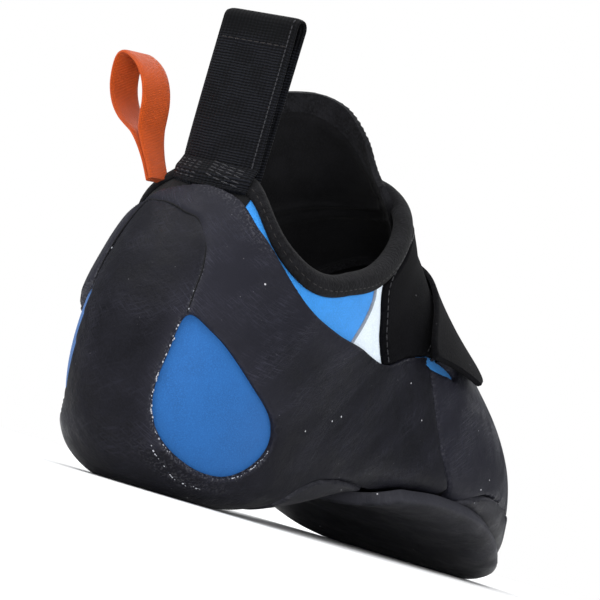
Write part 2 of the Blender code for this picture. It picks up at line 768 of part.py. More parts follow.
def make_side_loop(group):
    """Orange ribbon bent into a drop, leaning outwards over the inner side of the heel."""
    at = (np.array(SIDE_LOOP_ROW), np.array(SIDE_LOOP_TURN))
    outward = form_normals(*at)
    sideways = np.array([math.cos(RIBBON_LEAN), 0.0, math.sin(RIBBON_LEAN)])
    stand = RIBBON_WIDTH / 2 * abs(outward[1]) + RIBBON_THICKNESS * abs(outward @ sideways)
    root = form(*at) + outward * (stand + BINDING_THICKNESS + CLEARANCE)
    tail = 5 * RIBBON_THICKNESS
    outlines = (
        drop_outline(RIBBON_LOOP_LENGTH, RIBBON_LOOP_WIDTH, 0.0, 26),
        drop_outline(RIBBON_LOOP_LENGTH - tail - RIBBON_THICKNESS,
                     RIBBON_LOOP_WIDTH - 2 * RIBBON_THICKNESS, tail, 20),
    )
    curve = bpy.data.curves.new("side_loop outline", "CURVE")
    curve.dimensions = "2D"
    curve.fill_mode = "BOTH"
    curve.extrude = RIBBON_WIDTH / 2
    for outline in outlines:
        spline = curve.splines.new("POLY")
        spline.points.add(len(outline) - 1)
        spline.points.foreach_set("co", np.pad(outline, ((0, 0), (0, 2))).ravel())
        spline.use_cyclic_u = True
    guide = bpy.data.objects.new("side_loop outline", curve)
    group.objects.link(guide)
    guide.location = root
    guide.rotation_euler = (math.pi / 2, -RIBBON_LEAN, 0.0)
    bpy.context.view_layer.update()
    graph = bpy.context.evaluated_depsgraph_get()
    mesh = bpy.data.meshes.new_from_object(guide.evaluated_get(graph))
    mesh.transform(guide.matrix_world)
    work = bmesh.new()
    work.from_mesh(mesh)
    bmesh.ops.remove_doubles(work, verts=work.verts, dist=1e-6)
    bmesh.ops.recalc_face_normals(work, faces=work.faces)
    work.to_mesh(mesh)
    work.free()
    mesh.materials.clear()
    mesh.materials.append(material("orange"))
    bpy.data.objects.remove(guide, do_unlink=True)
    loop = bpy.data.objects.new("side_loop", mesh)
    group.objects.link(loop)
    return loop


def main():
    reset_scene()
    model = bpy.data.collections.new(PART_NAME)
    cutters = bpy.data.collections.new("cutters")
    bpy.context.scene.collection.children.link(model)
    bpy.context.scene.collection.children.link(cutters)
    rings = ring_rows()
    make_upper(model, rings)
    make_insole(model, rings)
    make_tongue(model)
    make_binding(model, rings)
    make_rubber(model, cutters, rings)
    make_outsole(model, cutters, rings)
    make_strap(model, cutters, rings)
    make_strap_tab(model)
    make_pull_loop(model)
    make_side_loop(model)


main()
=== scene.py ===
"""Looks of the climbing shoe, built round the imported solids.

Every soft or rubber piece is a smooth surface over the same form as the solids: a place on the
form has a row (0 above the collar, LAST_ROW at the toe cap, one more at the tip) and a turn (0 on
the heel and sole line, 0.25 on the outer side, 0.5 on the instep, 0.75 on the inner side).
Metres, +Z up, +Y to the toe, +X to the outer side, the floor at z = 0.
"""

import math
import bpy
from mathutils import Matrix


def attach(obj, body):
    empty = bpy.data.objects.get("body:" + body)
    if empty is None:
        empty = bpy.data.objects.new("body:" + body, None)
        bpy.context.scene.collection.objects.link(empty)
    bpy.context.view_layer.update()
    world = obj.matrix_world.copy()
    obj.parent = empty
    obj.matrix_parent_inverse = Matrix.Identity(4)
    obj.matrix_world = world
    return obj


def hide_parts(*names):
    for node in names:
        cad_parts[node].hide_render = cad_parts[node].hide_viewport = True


bl_info = {
    "name": "Climbing Shoe Looks",
    "version": (1, 0, 0),
    "blender": (4, 5, 0),
    "location": "3D View > Sidebar > Shoe",
    "description": "Rubber, cloth, webbing, stitches and studio for a packed climbing shoe",
    "category": "Add Mesh",
}

import bpy
import numpy as np
from bpy.props import FloatProperty, FloatVectorProperty, PointerProperty
from mathutils import Matrix, Vector

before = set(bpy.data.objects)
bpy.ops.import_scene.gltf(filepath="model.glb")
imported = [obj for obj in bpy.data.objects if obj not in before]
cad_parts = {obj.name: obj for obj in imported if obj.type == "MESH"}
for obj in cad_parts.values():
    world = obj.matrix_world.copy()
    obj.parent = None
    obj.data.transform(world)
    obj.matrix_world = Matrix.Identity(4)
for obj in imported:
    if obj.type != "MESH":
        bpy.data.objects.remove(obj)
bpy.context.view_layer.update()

# The form, as the solids have it
LENGTH = 0.245
BALL_WIDTH = 0.092
HEEL_WIDTH = 0.062
INSTEP_HEIGHT = 0.104
HEEL_REST = 0.028

UPPER_WALL = 0.0020
CLEARANCE = 0.0003
RUBBER_THICKNESS = 0.0018
SOLE_RAND_THICKNESS = 0.0024
OUTSOLE_THICKNESS = 0.0040
OUTSOLE_INSET = 0.0015
STRAP_THICKNESS = 0.0016
BINDING_THICKNESS = 0.0014
BINDING_WIDTH = 0.0055
BINDING_STITCH_DROP = 0.0036
BINDING_STITCH_LEVEL = 0.00188

# Columns: sole y and z, top y and z, ball share, outer and inner half width, ridge shift,
# exponents of the lower and upper half, level of the widest line
SECTIONS = np.array([
    (0.112, 0.960, 0.335, 1.225, 0.0, 0.400, 0.400, -0.04, 2.3, 2.1, 0.50),
    (0.090, 0.830, 0.382, 1.060, 0.0, 0.420, 0.420, -0.02, 2.3, 2.1, 0.50),
    (0.047, 0.690, 0.408, 1.010, 0.0, 0.450, 0.450, 0.00, 2.4, 2.1, 0.48),
    (0.016, 0.530, 0.432, 0.985, 0.0, 0.480, 0.480, 0.00, 2.5, 2.1, 0.46),
    (0.001, 0.360, 0.455, 0.963, 0.0, 0.500, 0.500, 0.00, 2.6, 2.1, 0.43),
    (0.009, 0.180, 0.477, 0.940, 0.0, 0.510, 0.510, 0.00, 2.6, 2.1, 0.40),
    (0.054, 0.042, 0.498, 0.912, 0.0, 0.510, 0.510, 0.00, 2.8, 2.1, 0.37),
    (0.124, 0.006, 0.520, 0.882, 0.1, 0.500, 0.475, 0.00, 3.2, 2.1, 0.35),
    (0.215, 0.046, 0.545, 0.830, 0.3, 0.480, 0.385, 0.00, 3.4, 2.1, 0.34),
    (0.330, 0.138, 0.580, 0.762, 0.6, 0.470, 0.310, -0.01, 3.6, 2.1, 0.33),
    (0.435, 0.186, 0.625, 0.688, 0.9, 0.480, 0.310, -0.03, 4.0, 2.1, 0.31),
    (0.540, 0.190, 0.680, 0.604, 1.0, 0.500, 0.365, -0.05, 4.4, 2.1, 0.30),
    (0.635, 0.158, 0.735, 0.515, 1.0, 0.492, 0.430, -0.07, 4.8, 2.2, 0.30),
    (0.718, 0.106, 0.788, 0.448, 1.0, 0.452, 0.452, -0.09, 5.0, 2.2, 0.31),
    (0.780, 0.072, 0.830, 0.403, 1.0, 0.398, 0.436, -0.11, 4.8, 2.2, 0.33),
    (0.832, 0.058, 0.867, 0.368, 1.0, 0.330, 0.402, -0.13, 4.4, 2.2, 0.35),
])
LAST_ROW = len(SECTIONS) - 1
TOE_REACH = 0.132
TOE_TIP_X = -0.16
TOE_TIP_LEVEL = 0.44
TOE_DROP = 0.15
TOE_START = 0.42
TOE_ROUNDNESS_OUTER = 1.9
TOE_ROUNDNESS_INNER = 2.4
# Shares of the toe cap: last own normal, then where normals turn straight ahead
TIP_HOLD = 0.985
TIP_TURN_START = 0.93
TIP_TURN_LENGTH = 0.07

# The collar's rim and the tongue's upper edge: turn, row
RIM = np.array([
    (0.000, 1.00), (0.055, 1.15), (0.140, 2.35), (0.200, 3.10), (0.245, 3.50),
    (0.290, 3.75), (0.330, 3.50), (0.390, 2.55), (0.450, 1.75), (0.520, 1.35),
    (0.600, 1.45), (0.690, 2.20), (0.760, 2.75), (0.830, 2.15), (0.930, 0.98),
])
TONGUE_TOP = np.array([
    (0.400, 1.30), (0.440, 0.62), (0.500, 0.20), (0.570, 0.02),
    (0.640, 0.02), (0.700, 0.25), (0.755, 0.85), (0.800, 1.80),
])
TONGUE_FOOT_ROW = 7.5

# Tongue and the hem along its edge, and one turn and one row there in metres
TONGUE_THICKNESS = 0.0018
HEM_WIDTH = 0.0042
HEM_RISE = 0.0003
HEM_THICKNESS = 0.0024
TONGUE_TURN_METRES = 0.150
TONGUE_TOP_ROW_METRES = 0.012
TONGUE_FOOT_ROW_METRES = 0.015

# Insole board: rows, half its turns, back and face below the form
INSOLE_ROWS = (7.0, 15.6)
INSOLE_HALF_TURNS = 0.105
INSOLE_LEVELS = (-0.0039, -0.0023)
INSOLE_ROW_METRES = 0.02
INSOLE_TURN_METRES = 0.2

# Edges seen from the side: y as a share of LENGTH from the back of the heel, z of INSTEP_HEIGHT
RUBBER_EDGE = np.array([
    (-0.060, 0.810), (0.058, 0.805), (0.068, 0.690), (0.092, 0.600), (0.132, 0.545),
    (0.196, 0.520), (0.262, 0.515), (0.335, 0.500), (0.395, 0.545), (0.450, 0.572),
])
FLANK_SEAM = np.array([
    (0.450, 0.572), (0.452, 0.470), (0.460, 0.380), (0.478, 0.290), (0.520, 0.215),
])
CREASE = np.array([
    (0.188, -0.100), (0.192, 0.030), (0.205, 0.100), (0.232, 0.145), (0.275, 0.168),
    (0.330, 0.178), (0.400, 0.186), (0.465, 0.198), (0.520, 0.215), (0.600, 0.255),
    (0.700, 0.235), (0.820, 0.200), (0.930, 0.195), (1.080, 0.195),
])
TOE_PATCH_EDGE = np.array([
    (0.450, 0.572), (0.500, 0.590), (0.545, 0.635), (0.585, 0.730), (0.610, 0.900),
])
STRAP_REAR_EDGE = np.array([
    (0.335, 0.500), (0.310, 0.600), (0.290, 0.715), (0.345, 0.850), (0.425, 0.945),
    (0.475, 1.020), (0.500, 1.100),
])
STRAP_FRONT_EDGE = np.array([
    (0.620, 1.100), (0.560, 0.900), (0.520, 0.760), (0.492, 0.660), (0.450, 0.572),
])

# Places on the form: row, turn
WINDOW_INNER_SHIFT = 0.030
WINDOW = np.array([
    (3.62, 0.052), (3.88, 0.090), (4.32, 0.127), (4.90, 0.161), (5.55, 0.186), (6.02, 0.182),
    (6.25, 0.152), (6.21, 0.114), (5.75, 0.074), (5.28, 0.046), (4.75, 0.038), (4.20, 0.043),
])
HEEL_SEAM = np.array([
    (3.62, -0.082), (3.20, -0.090), (2.70, -0.093), (2.30, -0.090), (2.04, -0.080),
    (1.98, -0.058), (1.95, -0.038), (1.98, -0.017), (2.04, -0.003), (2.09, 0.010),
    (2.22, 0.022), (2.37, 0.031), (2.56, 0.041), (2.74, 0.046), (2.98, 0.050),
    (3.25, 0.051), (3.49, 0.052), (3.62, 0.052),
])
HEEL_CUP_FOOT = np.array([(6.20, 0.130), (9.00, 0.130), (9.00, -0.160), (6.20, -0.160)])
# Ends of the blue sliver beside the tab
SLIVER = np.array([(8.18, 0.3265), (9.32, 0.3310)])
SLIVER_WIDTH = 0.0024
GLUE_LINE = np.array([(5.35, 0.036), (5.70, 0.050), (6.02, 0.062), (6.28, 0.084)])
PANEL_LAST_ROW = 6.90
FACING_ROWS = (0.8, 3.2)
FACING_TURNS = (-0.135, 0.058)
PIPING = np.array([(3.98, 0.288), (4.30, 0.291), (4.66, 0.291), (5.00, 0.283), (5.30, 0.268)])

# Cloth panels: back and face above the form, gap at the piping, and what lies under each edge
PANEL_LEVELS = (0.00004, 0.00024)
FACING_LEVELS = (0.00028, 0.00060)
FACING_ROW_METRES = 0.015
PANEL_GAP = 0.0001
PIPING_LEVEL = 0.0003
PIPING_RADIUS = 0.00055
UNDERLAP = 0.0012
WINDOW_UNDERLAP = 0.0018
SLIVER_UNDERLAP = 0.0008

# Heel rubber: the step and the groove along its seam, the thin dark line of painted shade in that
# groove, and the lumps of glue
SEAM_STEP = 0.00050
SEAM_STEP_REACH = 0.012
SEAM_BLEND = 0.0012
GROOVE_DEPTH = 0.00045
GROOVE_WIDTH = 0.0009
WAVE_HEIGHT = 0.00022
# Painted shade along the seam: radius of the dark line and how far it sinks into the groove
SEAM_SHADE_LINE_RADIUS = 0.00024
SEAM_SHADE_LINE_SINK = 0.00022
LUMP_PITCH = 0.00050
LUMP_LENGTH = 0.00042
LUMP_RADIUS = 0.00015
LUMP_STRAY = 0.00016

# Outsole's rear edge and the strap's free end
OUTSOLE_REAR_ROW = 9.05
REAR_BOW = 0.009
TAB_ROWS = (7.6, 9.9)
TAB_TURNS = (0.322, 0.585)
TAB_LIFT = 0.0040
TAB_ROUNDING = 0.35
TAB_ROWS_PER_TURN = 10
TAB_ROW_METRES = 0.018

STRAP_STITCH_INSET = 0.0016
STRAP_STITCH_PITCH = 0.0022

# Webbing of the pull loop
WEBBING_WIDTH = 0.0235
WEBBING_THICKNESS = 0.0014
WEBBING_RISE = 0.044
WEBBING_FOOT = 0.007
WEBBING_SHIFT = -0.0028
WEBBING_FOLD = 1.15
WEBBING_EASE = 0.7
# Sewn block at the webbing's foot: metres up the webbing and in from its edges
BLOCK_FIRST_ROW = 0.0022
BLOCK_LAST_ROW = 0.0066
BLOCK_ROWS = 5
BLOCK_STITCHES = (0.0012, 0.0090)
BLOCK_BARS = (0.0115, 0.0022)
BLOCK_BAR_SLANT = (0.0016, -0.0004)
SELVEDGE_INSET = 0.0016
SELVEDGE_START = 0.0080
FOLD_HEM = 0.0085

# Ribbon of the side loop
RIBBON_WIDTH = 0.0080
RIBBON_THICKNESS = 0.0012
RIBBON_LOOP_LENGTH = 0.036
RIBBON_LOOP_WIDTH = 0.0155
RIBBON_LEAN = math.radians(31)
RIBBON_SPREAD = 0.0098
RIBBON_FOOT_WIDTH = 0.0068
RIBBON_TURN = math.radians(20)
SIDE_LOOP_ROW = 1.62
SIDE_LOOP_TURN = 0.890

# One leg of the ribbon's drop: share of its length, share of its half width
RIBBON_LEG = np.array([
    (-0.08, 0.00), (0.02, 0.00), (0.12, 0.00), (0.24, 0.04), (0.34, 0.16), (0.42, 0.40), (0.51, 0.68),
    (0.61, 0.86), (0.71, 0.90), (0.81, 0.80), (0.90, 0.56), (0.97, 0.26), (1.00, 0.00),
])

# The photograph's camera, brought up to the floor: yaw and roll as there
CAMERA_AT = (0.288, -0.482, 0.006)
CAMERA_YAW = math.radians(28.25)
CAMERA_PITCH = math.radians(5.5)
CAMERA_ROLL = math.radians(16.6)
CAMERA_LENS = 126.0

# Soft lights: name, place, aim, side, energy
LIGHTS = (
    ("key_light", (-0.75, -0.95, 1.05), (0.0, 0.05, 0.05), 0.8, 7.0),
    ("side_light", (1.25, -0.10, 0.70), (0.0, 0.08, 0.05), 0.7, 5.0),
    ("rear_light", (-0.4, 1.2, 1.1), (0.0, 0.08, 0.06), 0.9, 9.0),
    ("low_light", (0.60, -0.95, 0.08), (0.0, 0.10, 0.02), 0.5, 8.5),
)
FLOOR_CENTRE_Y = 0.09
FLOOR_DROP = 0.0002


def smooth_rows(table, at):
    """Cubic curve through a table's rows, read at fractional row numbers.

    The slope at each row is half the step from the row before it to the row after it."""
    at = np.clip(np.asarray(at, float), 0.0, len(table) - 1.0)
    low = np.minimum(at.astype(int), len(table) - 2)
    share = (at - low)[..., None]
    before = table[np.maximum(low - 1, 0)]
    start = table[low]
    end = table[low + 1]
    after = table[np.minimum(low + 2, len(table) - 1)]
    leave = (end - before) / 2
    arrive = (after - start) / 2
    square = share ** 2
    cube = share ** 3
    return ((2 * cube - 3 * square + 1) * start + (cube - 2 * square + share) * leave
            + (3 * square - 2 * cube) * end + (cube - square) * arrive)


def curve_through(table, count):
    """A number of points, evenly spread in row number, on the curve through a table's rows."""
    return smooth_rows(table, np.linspace(0, len(table) - 1, count))


def bell(distance, width):
    """1 at no distance, falling off to both sides: the power of e to minus the ratio's square."""
    return np.exp(-(distance / width) ** 2)


def eased(share):
    """A share from 0 to 1 that starts and ends level: three squares less two cubes."""
    return share ** 2 * (3 - 2 * share)


def cap_shares(count):
    """Steps from the start of the toe cap to its tip: sines of even angles to the power 1.3."""
    return np.sin(np.linspace(0, math.pi / 2, count)[1:]) ** 1.3


def section_points(row, turn):
    """A slanted section: on each side a superellipse about its widest line."""
    columns = np.moveaxis(smooth_rows(SECTIONS, row), -1, 0)
    sole_y, sole_z, top_y, top_z, ball, outer, inner, ridge, flat, crown, level = columns
    angle = 2 * math.pi * turn
    upward = -np.cos(angle)
    sideways = np.sin(angle)
    exponent = 2 / np.where(upward < 0, flat, crown)
    reach = np.where(sideways > 0, outer, inner) * (HEEL_WIDTH * (1 - ball) + BALL_WIDTH * ball)
    height = np.sign(upward) * np.abs(upward) ** exponent
    share = np.where(height < 0, level * (1 + height), level + (1 - level) * height)
    across = reach * np.sign(sideways) * np.abs(sideways) ** exponent
    return np.stack([
        across + ridge * BALL_WIDTH * share,
        (sole_y + (top_y - sole_y) * share) * LENGTH - HEEL_REST,
        (sole_z + (top_z - sole_z) * share) * INSTEP_HEIGHT,
    ], -1)


def toe_tip():
    """Where the toe cap starts from, and how far it goes beyond that."""
    sole_y, sole_z, top_y, top_z = SECTIONS[-1, :4]
    centre = np.array([
        TOE_TIP_X * BALL_WIDTH,
        (sole_y + top_y) / 2 * LENGTH - HEEL_REST,
        (sole_z + (top_z - sole_z) * TOE_TIP_LEVEL) * INSTEP_HEIGHT,
    ])
    return centre, np.array([0.0, 1.0, -TOE_DROP]) * TOE_REACH * LENGTH


def form(row, turn):
    """Sections up to LAST_ROW, then a cap that shrinks them to the tip as a superellipse does."""
    row, turn = np.broadcast_arrays(np.asarray(row, float), np.asarray(turn, float))
    base = section_points(np.minimum(row, LAST_ROW), turn)
    along = np.clip(row - LAST_ROW, 0.0, 1.0)[..., None]
    centre, reach = toe_tip()
    outward = (1 + np.sin(2 * math.pi * turn)[..., None]) / 2
    roundness = TOE_ROUNDNESS_INNER + (TOE_ROUNDNESS_OUTER - TOE_ROUNDNESS_INNER) * outward
    around_cap = TOE_START + (1 - TOE_START) * along
    shrink = ((1 - around_cap ** roundness) / (1 - TOE_START ** roundness)) ** (1 / roundness)
    return np.where(along > 0, centre + (base - centre) * shrink + reach * along, base)


def form_normals(row, turn):
    """Outward directions: lengthwise step crossed with the step around, straight ahead at the tip."""
    step = 1e-3
    row, turn = np.broadcast_arrays(np.asarray(row, float), np.asarray(turn, float))
    held = np.clip(row, step, LAST_ROW + TIP_HOLD)
    lengthwise = form(held + step, turn) - form(held - step, turn)
    around = form(held, turn + step) - form(held, turn - step)
    outward = np.cross(lengthwise, around)
    outward /= np.linalg.norm(outward, axis=-1, keepdims=True)
    reach = toe_tip()[1]
    ahead = reach / np.linalg.norm(reach)
    share = np.clip((row - LAST_ROW - TIP_TURN_START) / TIP_TURN_LENGTH, 0.0, 1.0)[..., None]
    outward = outward * (1 - share) + ahead * share
    return outward / np.linalg.norm(outward, axis=-1, keepdims=True)


def off_form(row, turn, distance):
    """Points at a distance outside the form (negative is inside), never below the floor."""
    row, turn = np.broadcast_arrays(np.asarray(row, float), np.asarray(turn, float))
    points = form(row, turn) + form_normals(row, turn) * np.asarray(distance)[..., None]
    points[..., 2] = np.maximum(points[..., 2], 0.0)
    return points


def closed_curve(table, period, steps=12):
    """A closed smooth curve through a table's rows; one lap adds the period."""
    count = len(table)
    at = np.linspace(0, count, count * steps + 1)
    wrapped = np.vstack([table[-2:] - period, table, table[:3] + period])
    return smooth_rows(wrapped, at + 2)


def rim_row(turn):
    """Row of the collar's rim at any turn."""
    samples = closed_curve(RIM, np.array([1.0, 0.0]))
    return np.interp(np.asarray(turn) % 1.0, samples[:, 0], samples[:, 1])


def row_pitch(turn):
    """Metres along the form for one row, at the rim."""
    rim = rim_row(turn)
    return np.linalg.norm(form(rim + 0.01, turn) - form(rim, turn), axis=-1) / 0.01


def edge_curve(table, steps=14):
    """A smooth edge seen from the side, in metres."""
    at = np.linspace(0, len(table) - 1, (len(table) - 1) * steps + 1)
    return smooth_rows(table, at) * (LENGTH, INSTEP_HEIGHT) - (HEEL_REST, 0.0)


def shifted(curve, distance):
    """A curve moved sideways by a distance, to the left of its direction."""
    along = np.gradient(curve, axis=0)
    along /= np.linalg.norm(along, axis=1, keepdims=True)
    return curve + np.stack([-along[:, 1], along[:, 0]], -1) * distance


def side_places(curve):
    """Rows and turns of places seen from the side.

    The nearest point of a grid, then six steps along the form's own slopes towards the place."""
    rows, turns = np.meshgrid(np.linspace(0, 15, 240), np.linspace(0.1, 0.49, 160),
                              indexing="ij")
    seen = form(rows, turns)[..., 1:].reshape(-1, 1, 2)
    start = ((seen - curve) ** 2).sum(-1).argmin(0)
    row, turn = rows.ravel()[start], turns.ravel()[start]
    step = 1e-4
    for _ in range(6):
        here = form(row, turn)[:, 1:]
        by_row = (form(row + step, turn)[:, 1:] - here) / step
        by_turn = (form(row, turn + step)[:, 1:] - here) / step
        miss = curve - here
        area = by_row[:, 0] * by_turn[:, 1] - by_row[:, 1] * by_turn[:, 0]
        area = np.where(np.abs(area) < 1e-8, 1e-8, area)
        row = row + np.clip((miss[:, 0] * by_turn[:, 1] - miss[:, 1] * by_turn[:, 0]) / area,
                            -0.2, 0.2)
        turn = turn + np.clip((by_row[:, 0] * miss[:, 1] - by_row[:, 1] * miss[:, 0]) / area,
                              -0.01, 0.01)
    met = np.linalg.norm(form(row, turn)[:, 1:] - curve, axis=1) < 2e-4
    return row[met], turn[met]


# Fields: positive inside a region, about as large as the distance to its edge
POINTS_AT_ONCE = 20000


def line_distance(at, line, closed=False):
    """Distance from flat points to a polyline: the least over its straight runs."""
    start = line if closed else line[:-1]
    run = (np.roll(line, -1, axis=0) if closed else line[1:]) - start
    length = np.maximum((run ** 2).sum(1), 1e-18)
    nearest = np.empty(len(at))
    for first in range(0, len(at), POINTS_AT_ONCE):
        block = at[first:first + POINTS_AT_ONCE, None, :] - start
        share = np.clip((block * run).sum(-1) / length, 0.0, 1.0)
        nearest[first:first + POINTS_AT_ONCE] = np.sqrt(
            ((block - share[..., None] * run) ** 2).sum(-1).min(axis=1))
    return nearest


def outline_field(at, outline):
    """Signed distance to a closed outline, positive inside: crossings of a level ray are odd."""
    flat = at.reshape(-1, 2)
    ends = np.roll(outline, -1, axis=0)
    inside = np.zeros(len(flat), bool)
    for (start_x, start_y), (end_x, end_y) in zip(outline, ends):
        if start_y == end_y:
            continue
        crosses = (start_y > flat[:, 1]) != (end_y > flat[:, 1])
        meets = start_x + (end_x - start_x) * (flat[:, 1] - start_y) / (end_y - start_y)
        inside ^= crosses & (flat[:, 0] < meets)
    distance = line_distance(flat, outline, closed=True)
    return np.where(inside, distance, -distance).reshape(at.shape[:-1])


def seen_field(row, turn, outline):
    """Signed distance to an outline seen from the side, positive inside it."""
    return outline_field(form(row, turn)[..., 1:], outline)


def side_outlines():
    """Outlines of heel rand, toe patch, sole rand and strap seen from the side."""
    gap = CLEARANCE / 2
    edge = edge_curve(RUBBER_EDGE)
    seam = edge_curve(FLANK_SEAM)
    crease = edge_curve(CREASE)
    split = int(np.argmin(np.linalg.norm(crease - seam[-1], axis=1)))
    below = -INSTEP_HEIGHT / 4
    heel_crease = shifted(crease, gap)[:split + 1]
    heel = np.vstack([
        edge, shifted(seam, -gap)[1:-1], heel_crease[::-1],
        [(heel_crease[0, 0], below), (edge[0, 0], below)],
    ])
    toe_edge = edge_curve(TOE_PATCH_EDGE)
    toe = np.vstack([
        shifted(seam, gap)[::-1][1:-1], toe_edge,
        [(crease[-1, 0], toe_edge[-1, 1])], shifted(crease, gap)[split:][::-1],
    ])
    low_crease = shifted(crease, -gap)
    rand = np.vstack([low_crease, [(low_crease[-1, 0], below), (low_crease[0, 0], below)]])
    rear = edge_curve(STRAP_REAR_EDGE)
    front = edge_curve(STRAP_FRONT_EDGE)
    foot = shifted(edge, CLEARANCE)
    foot = foot[(foot[:, 0] > rear[0, 0]) & (foot[:, 0] < front[-1, 0])]
    strap = np.vstack([rear, front, foot[::-1]])
    return {"heel": heel, "toe": toe, "rand": rand, "strap": strap}


# One row and one turn in metres round the heel
ROW_METRES = 0.0205
TURN_METRES = 0.190


def on_sheet(row, turn):
    """Row and turn as a flat map in metres, true to scale round the heel."""
    return np.stack([row * ROW_METRES, turn * TURN_METRES], -1)


def window_curve():
    """Rows and turns round the outer window."""
    return closed_curve(WINDOW, np.zeros(2), 10)[:-1]


def window_field(row, turn, inner=False):
    """The drop-shaped window, positive inside it."""
    outline = window_curve()
    if inner:
        outline = outline * (1, -1) - (0, WINDOW_INNER_SHIFT)
    return outline_field(on_sheet(row, turn), on_sheet(outline[:, 0], outline[:, 1]))


def below_rim(row, turn, distance):
    """Metres below a line that runs a distance under the collar's rim."""
    return (row - rim_row(turn)) * row_pitch(turn) - distance


# Meshes: corners closer than SAME_PLACE are one; a cut within NEAR of a cell moves its corner
SAME_PLACE = 2e-7
NEAR = 0.30


def add_piece(name, points, faces, material, node=None, slot=None, layers=None, crease=40.0):
    """A smooth-shaded mesh from points and a list of equal-sided face arrays."""
    sizes = np.concatenate([np.full(len(group), group.shape[1]) for group in faces])
    corners = np.concatenate([group.ravel() for group in faces])
    used, renumbered = np.unique(corners, return_inverse=True)
    mesh = bpy.data.meshes.new(name)
    mesh.vertices.add(len(used))
    mesh.vertices.foreach_set("co", points[used].ravel())
    mesh.loops.add(len(corners))
    mesh.loops.foreach_set("vertex_index", renumbered.astype(np.int32).ravel())
    mesh.polygons.add(len(sizes))
    mesh.polygons.foreach_set("loop_start", (np.cumsum(sizes) - sizes).astype(np.int32))
    mesh.update(calc_edges=True)
    for key, values in (layers or {}).items():
        values = values[used]
        if values.ndim == 2:
            uv = mesh.uv_layers.new(name=key)
            uv.data.foreach_set("uv", values[renumbered.ravel()].ravel())
        else:
            stored = mesh.attributes.new(key, "FLOAT", "POINT")
            stored.data.foreach_set("value", values.astype(np.float32))
    mesh.validate()
    mesh.shade_smooth()
    if crease:
        mesh.set_sharp_from_angle(angle=math.radians(crease))
    mesh.materials.append(material)
    piece = bpy.data.objects.new(name, mesh)
    bpy.context.scene.collection.objects.link(piece)
    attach(piece, "root")
    if node:
        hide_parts(*([node] if isinstance(node, str) else node))
    return piece


def rim_faces(faces, lift):
    """Walls between a sheet and its copy, along the edges that only one face has."""
    runs = np.concatenate([np.stack([group, np.roll(group, -1, axis=1)], -1).reshape(-1, 2)
                           for group in faces])
    both = np.sort(runs, axis=1)
    key = both[:, 0].astype(np.int64) * (both.max() + 1) + both[:, 1]
    _, index, count = np.unique(key, return_inverse=True, return_counts=True)
    border = runs[count[index.ravel()] == 1]
    return np.stack([border[:, 1], border[:, 0], border[:, 0] + lift, border[:, 1] + lift], -1)


def merged(points, faces):
    """Corners at the same place become one; faces that collapse are dropped or become triangles."""
    grid = np.round(points / SAME_PLACE).astype(np.int64)
    _, first, index = np.unique(grid, axis=0, return_index=True, return_inverse=True)
    faces = [first[index.ravel()][group] for group in faces]
    kept = []
    for group in faces:
        twice = [group[:, side] == np.roll(group, -1, axis=1)[:, side]
                 for side in range(group.shape[1])]
        double = np.sum(twice, axis=0)
        kept.append(group[double == 0])
        if group.shape[1] == 4:
            for side in range(4):
                rows = group[(double == 1) & twice[side]]
                kept.append(np.delete(rows, side, axis=1))
    return [group for group in kept if len(group)]


def grid_cells(number):
    """Four-sided cells of a grid of point numbers."""
    return np.stack([number[:-1, :-1], number[:-1, 1:], number[1:, 1:], number[1:, :-1]],
                    -1).reshape(-1, 4)


def zero_shares(field, start, end, low_level, high_level):
    """How far from start to end a field is zero: three steps on a straight line, and a last one."""
    low, high = np.zeros(len(start)), np.ones(len(start))
    for _ in range(3):
        share = low + (high - low) * low_level / (low_level - high_level)
        met = start + (end - start) * share[:, None]
        found = field(met[:, 0], met[:, 1])
        before = (found > 0) == (low_level > 0)
        low, low_level = np.where(before, share, low), np.where(before, found, low_level)
        high, high_level = np.where(before, high, share), np.where(before, high_level, found)
    return np.clip(low + (high - low) * low_level / (low_level - high_level + 1e-15), 0.0, 1.0)


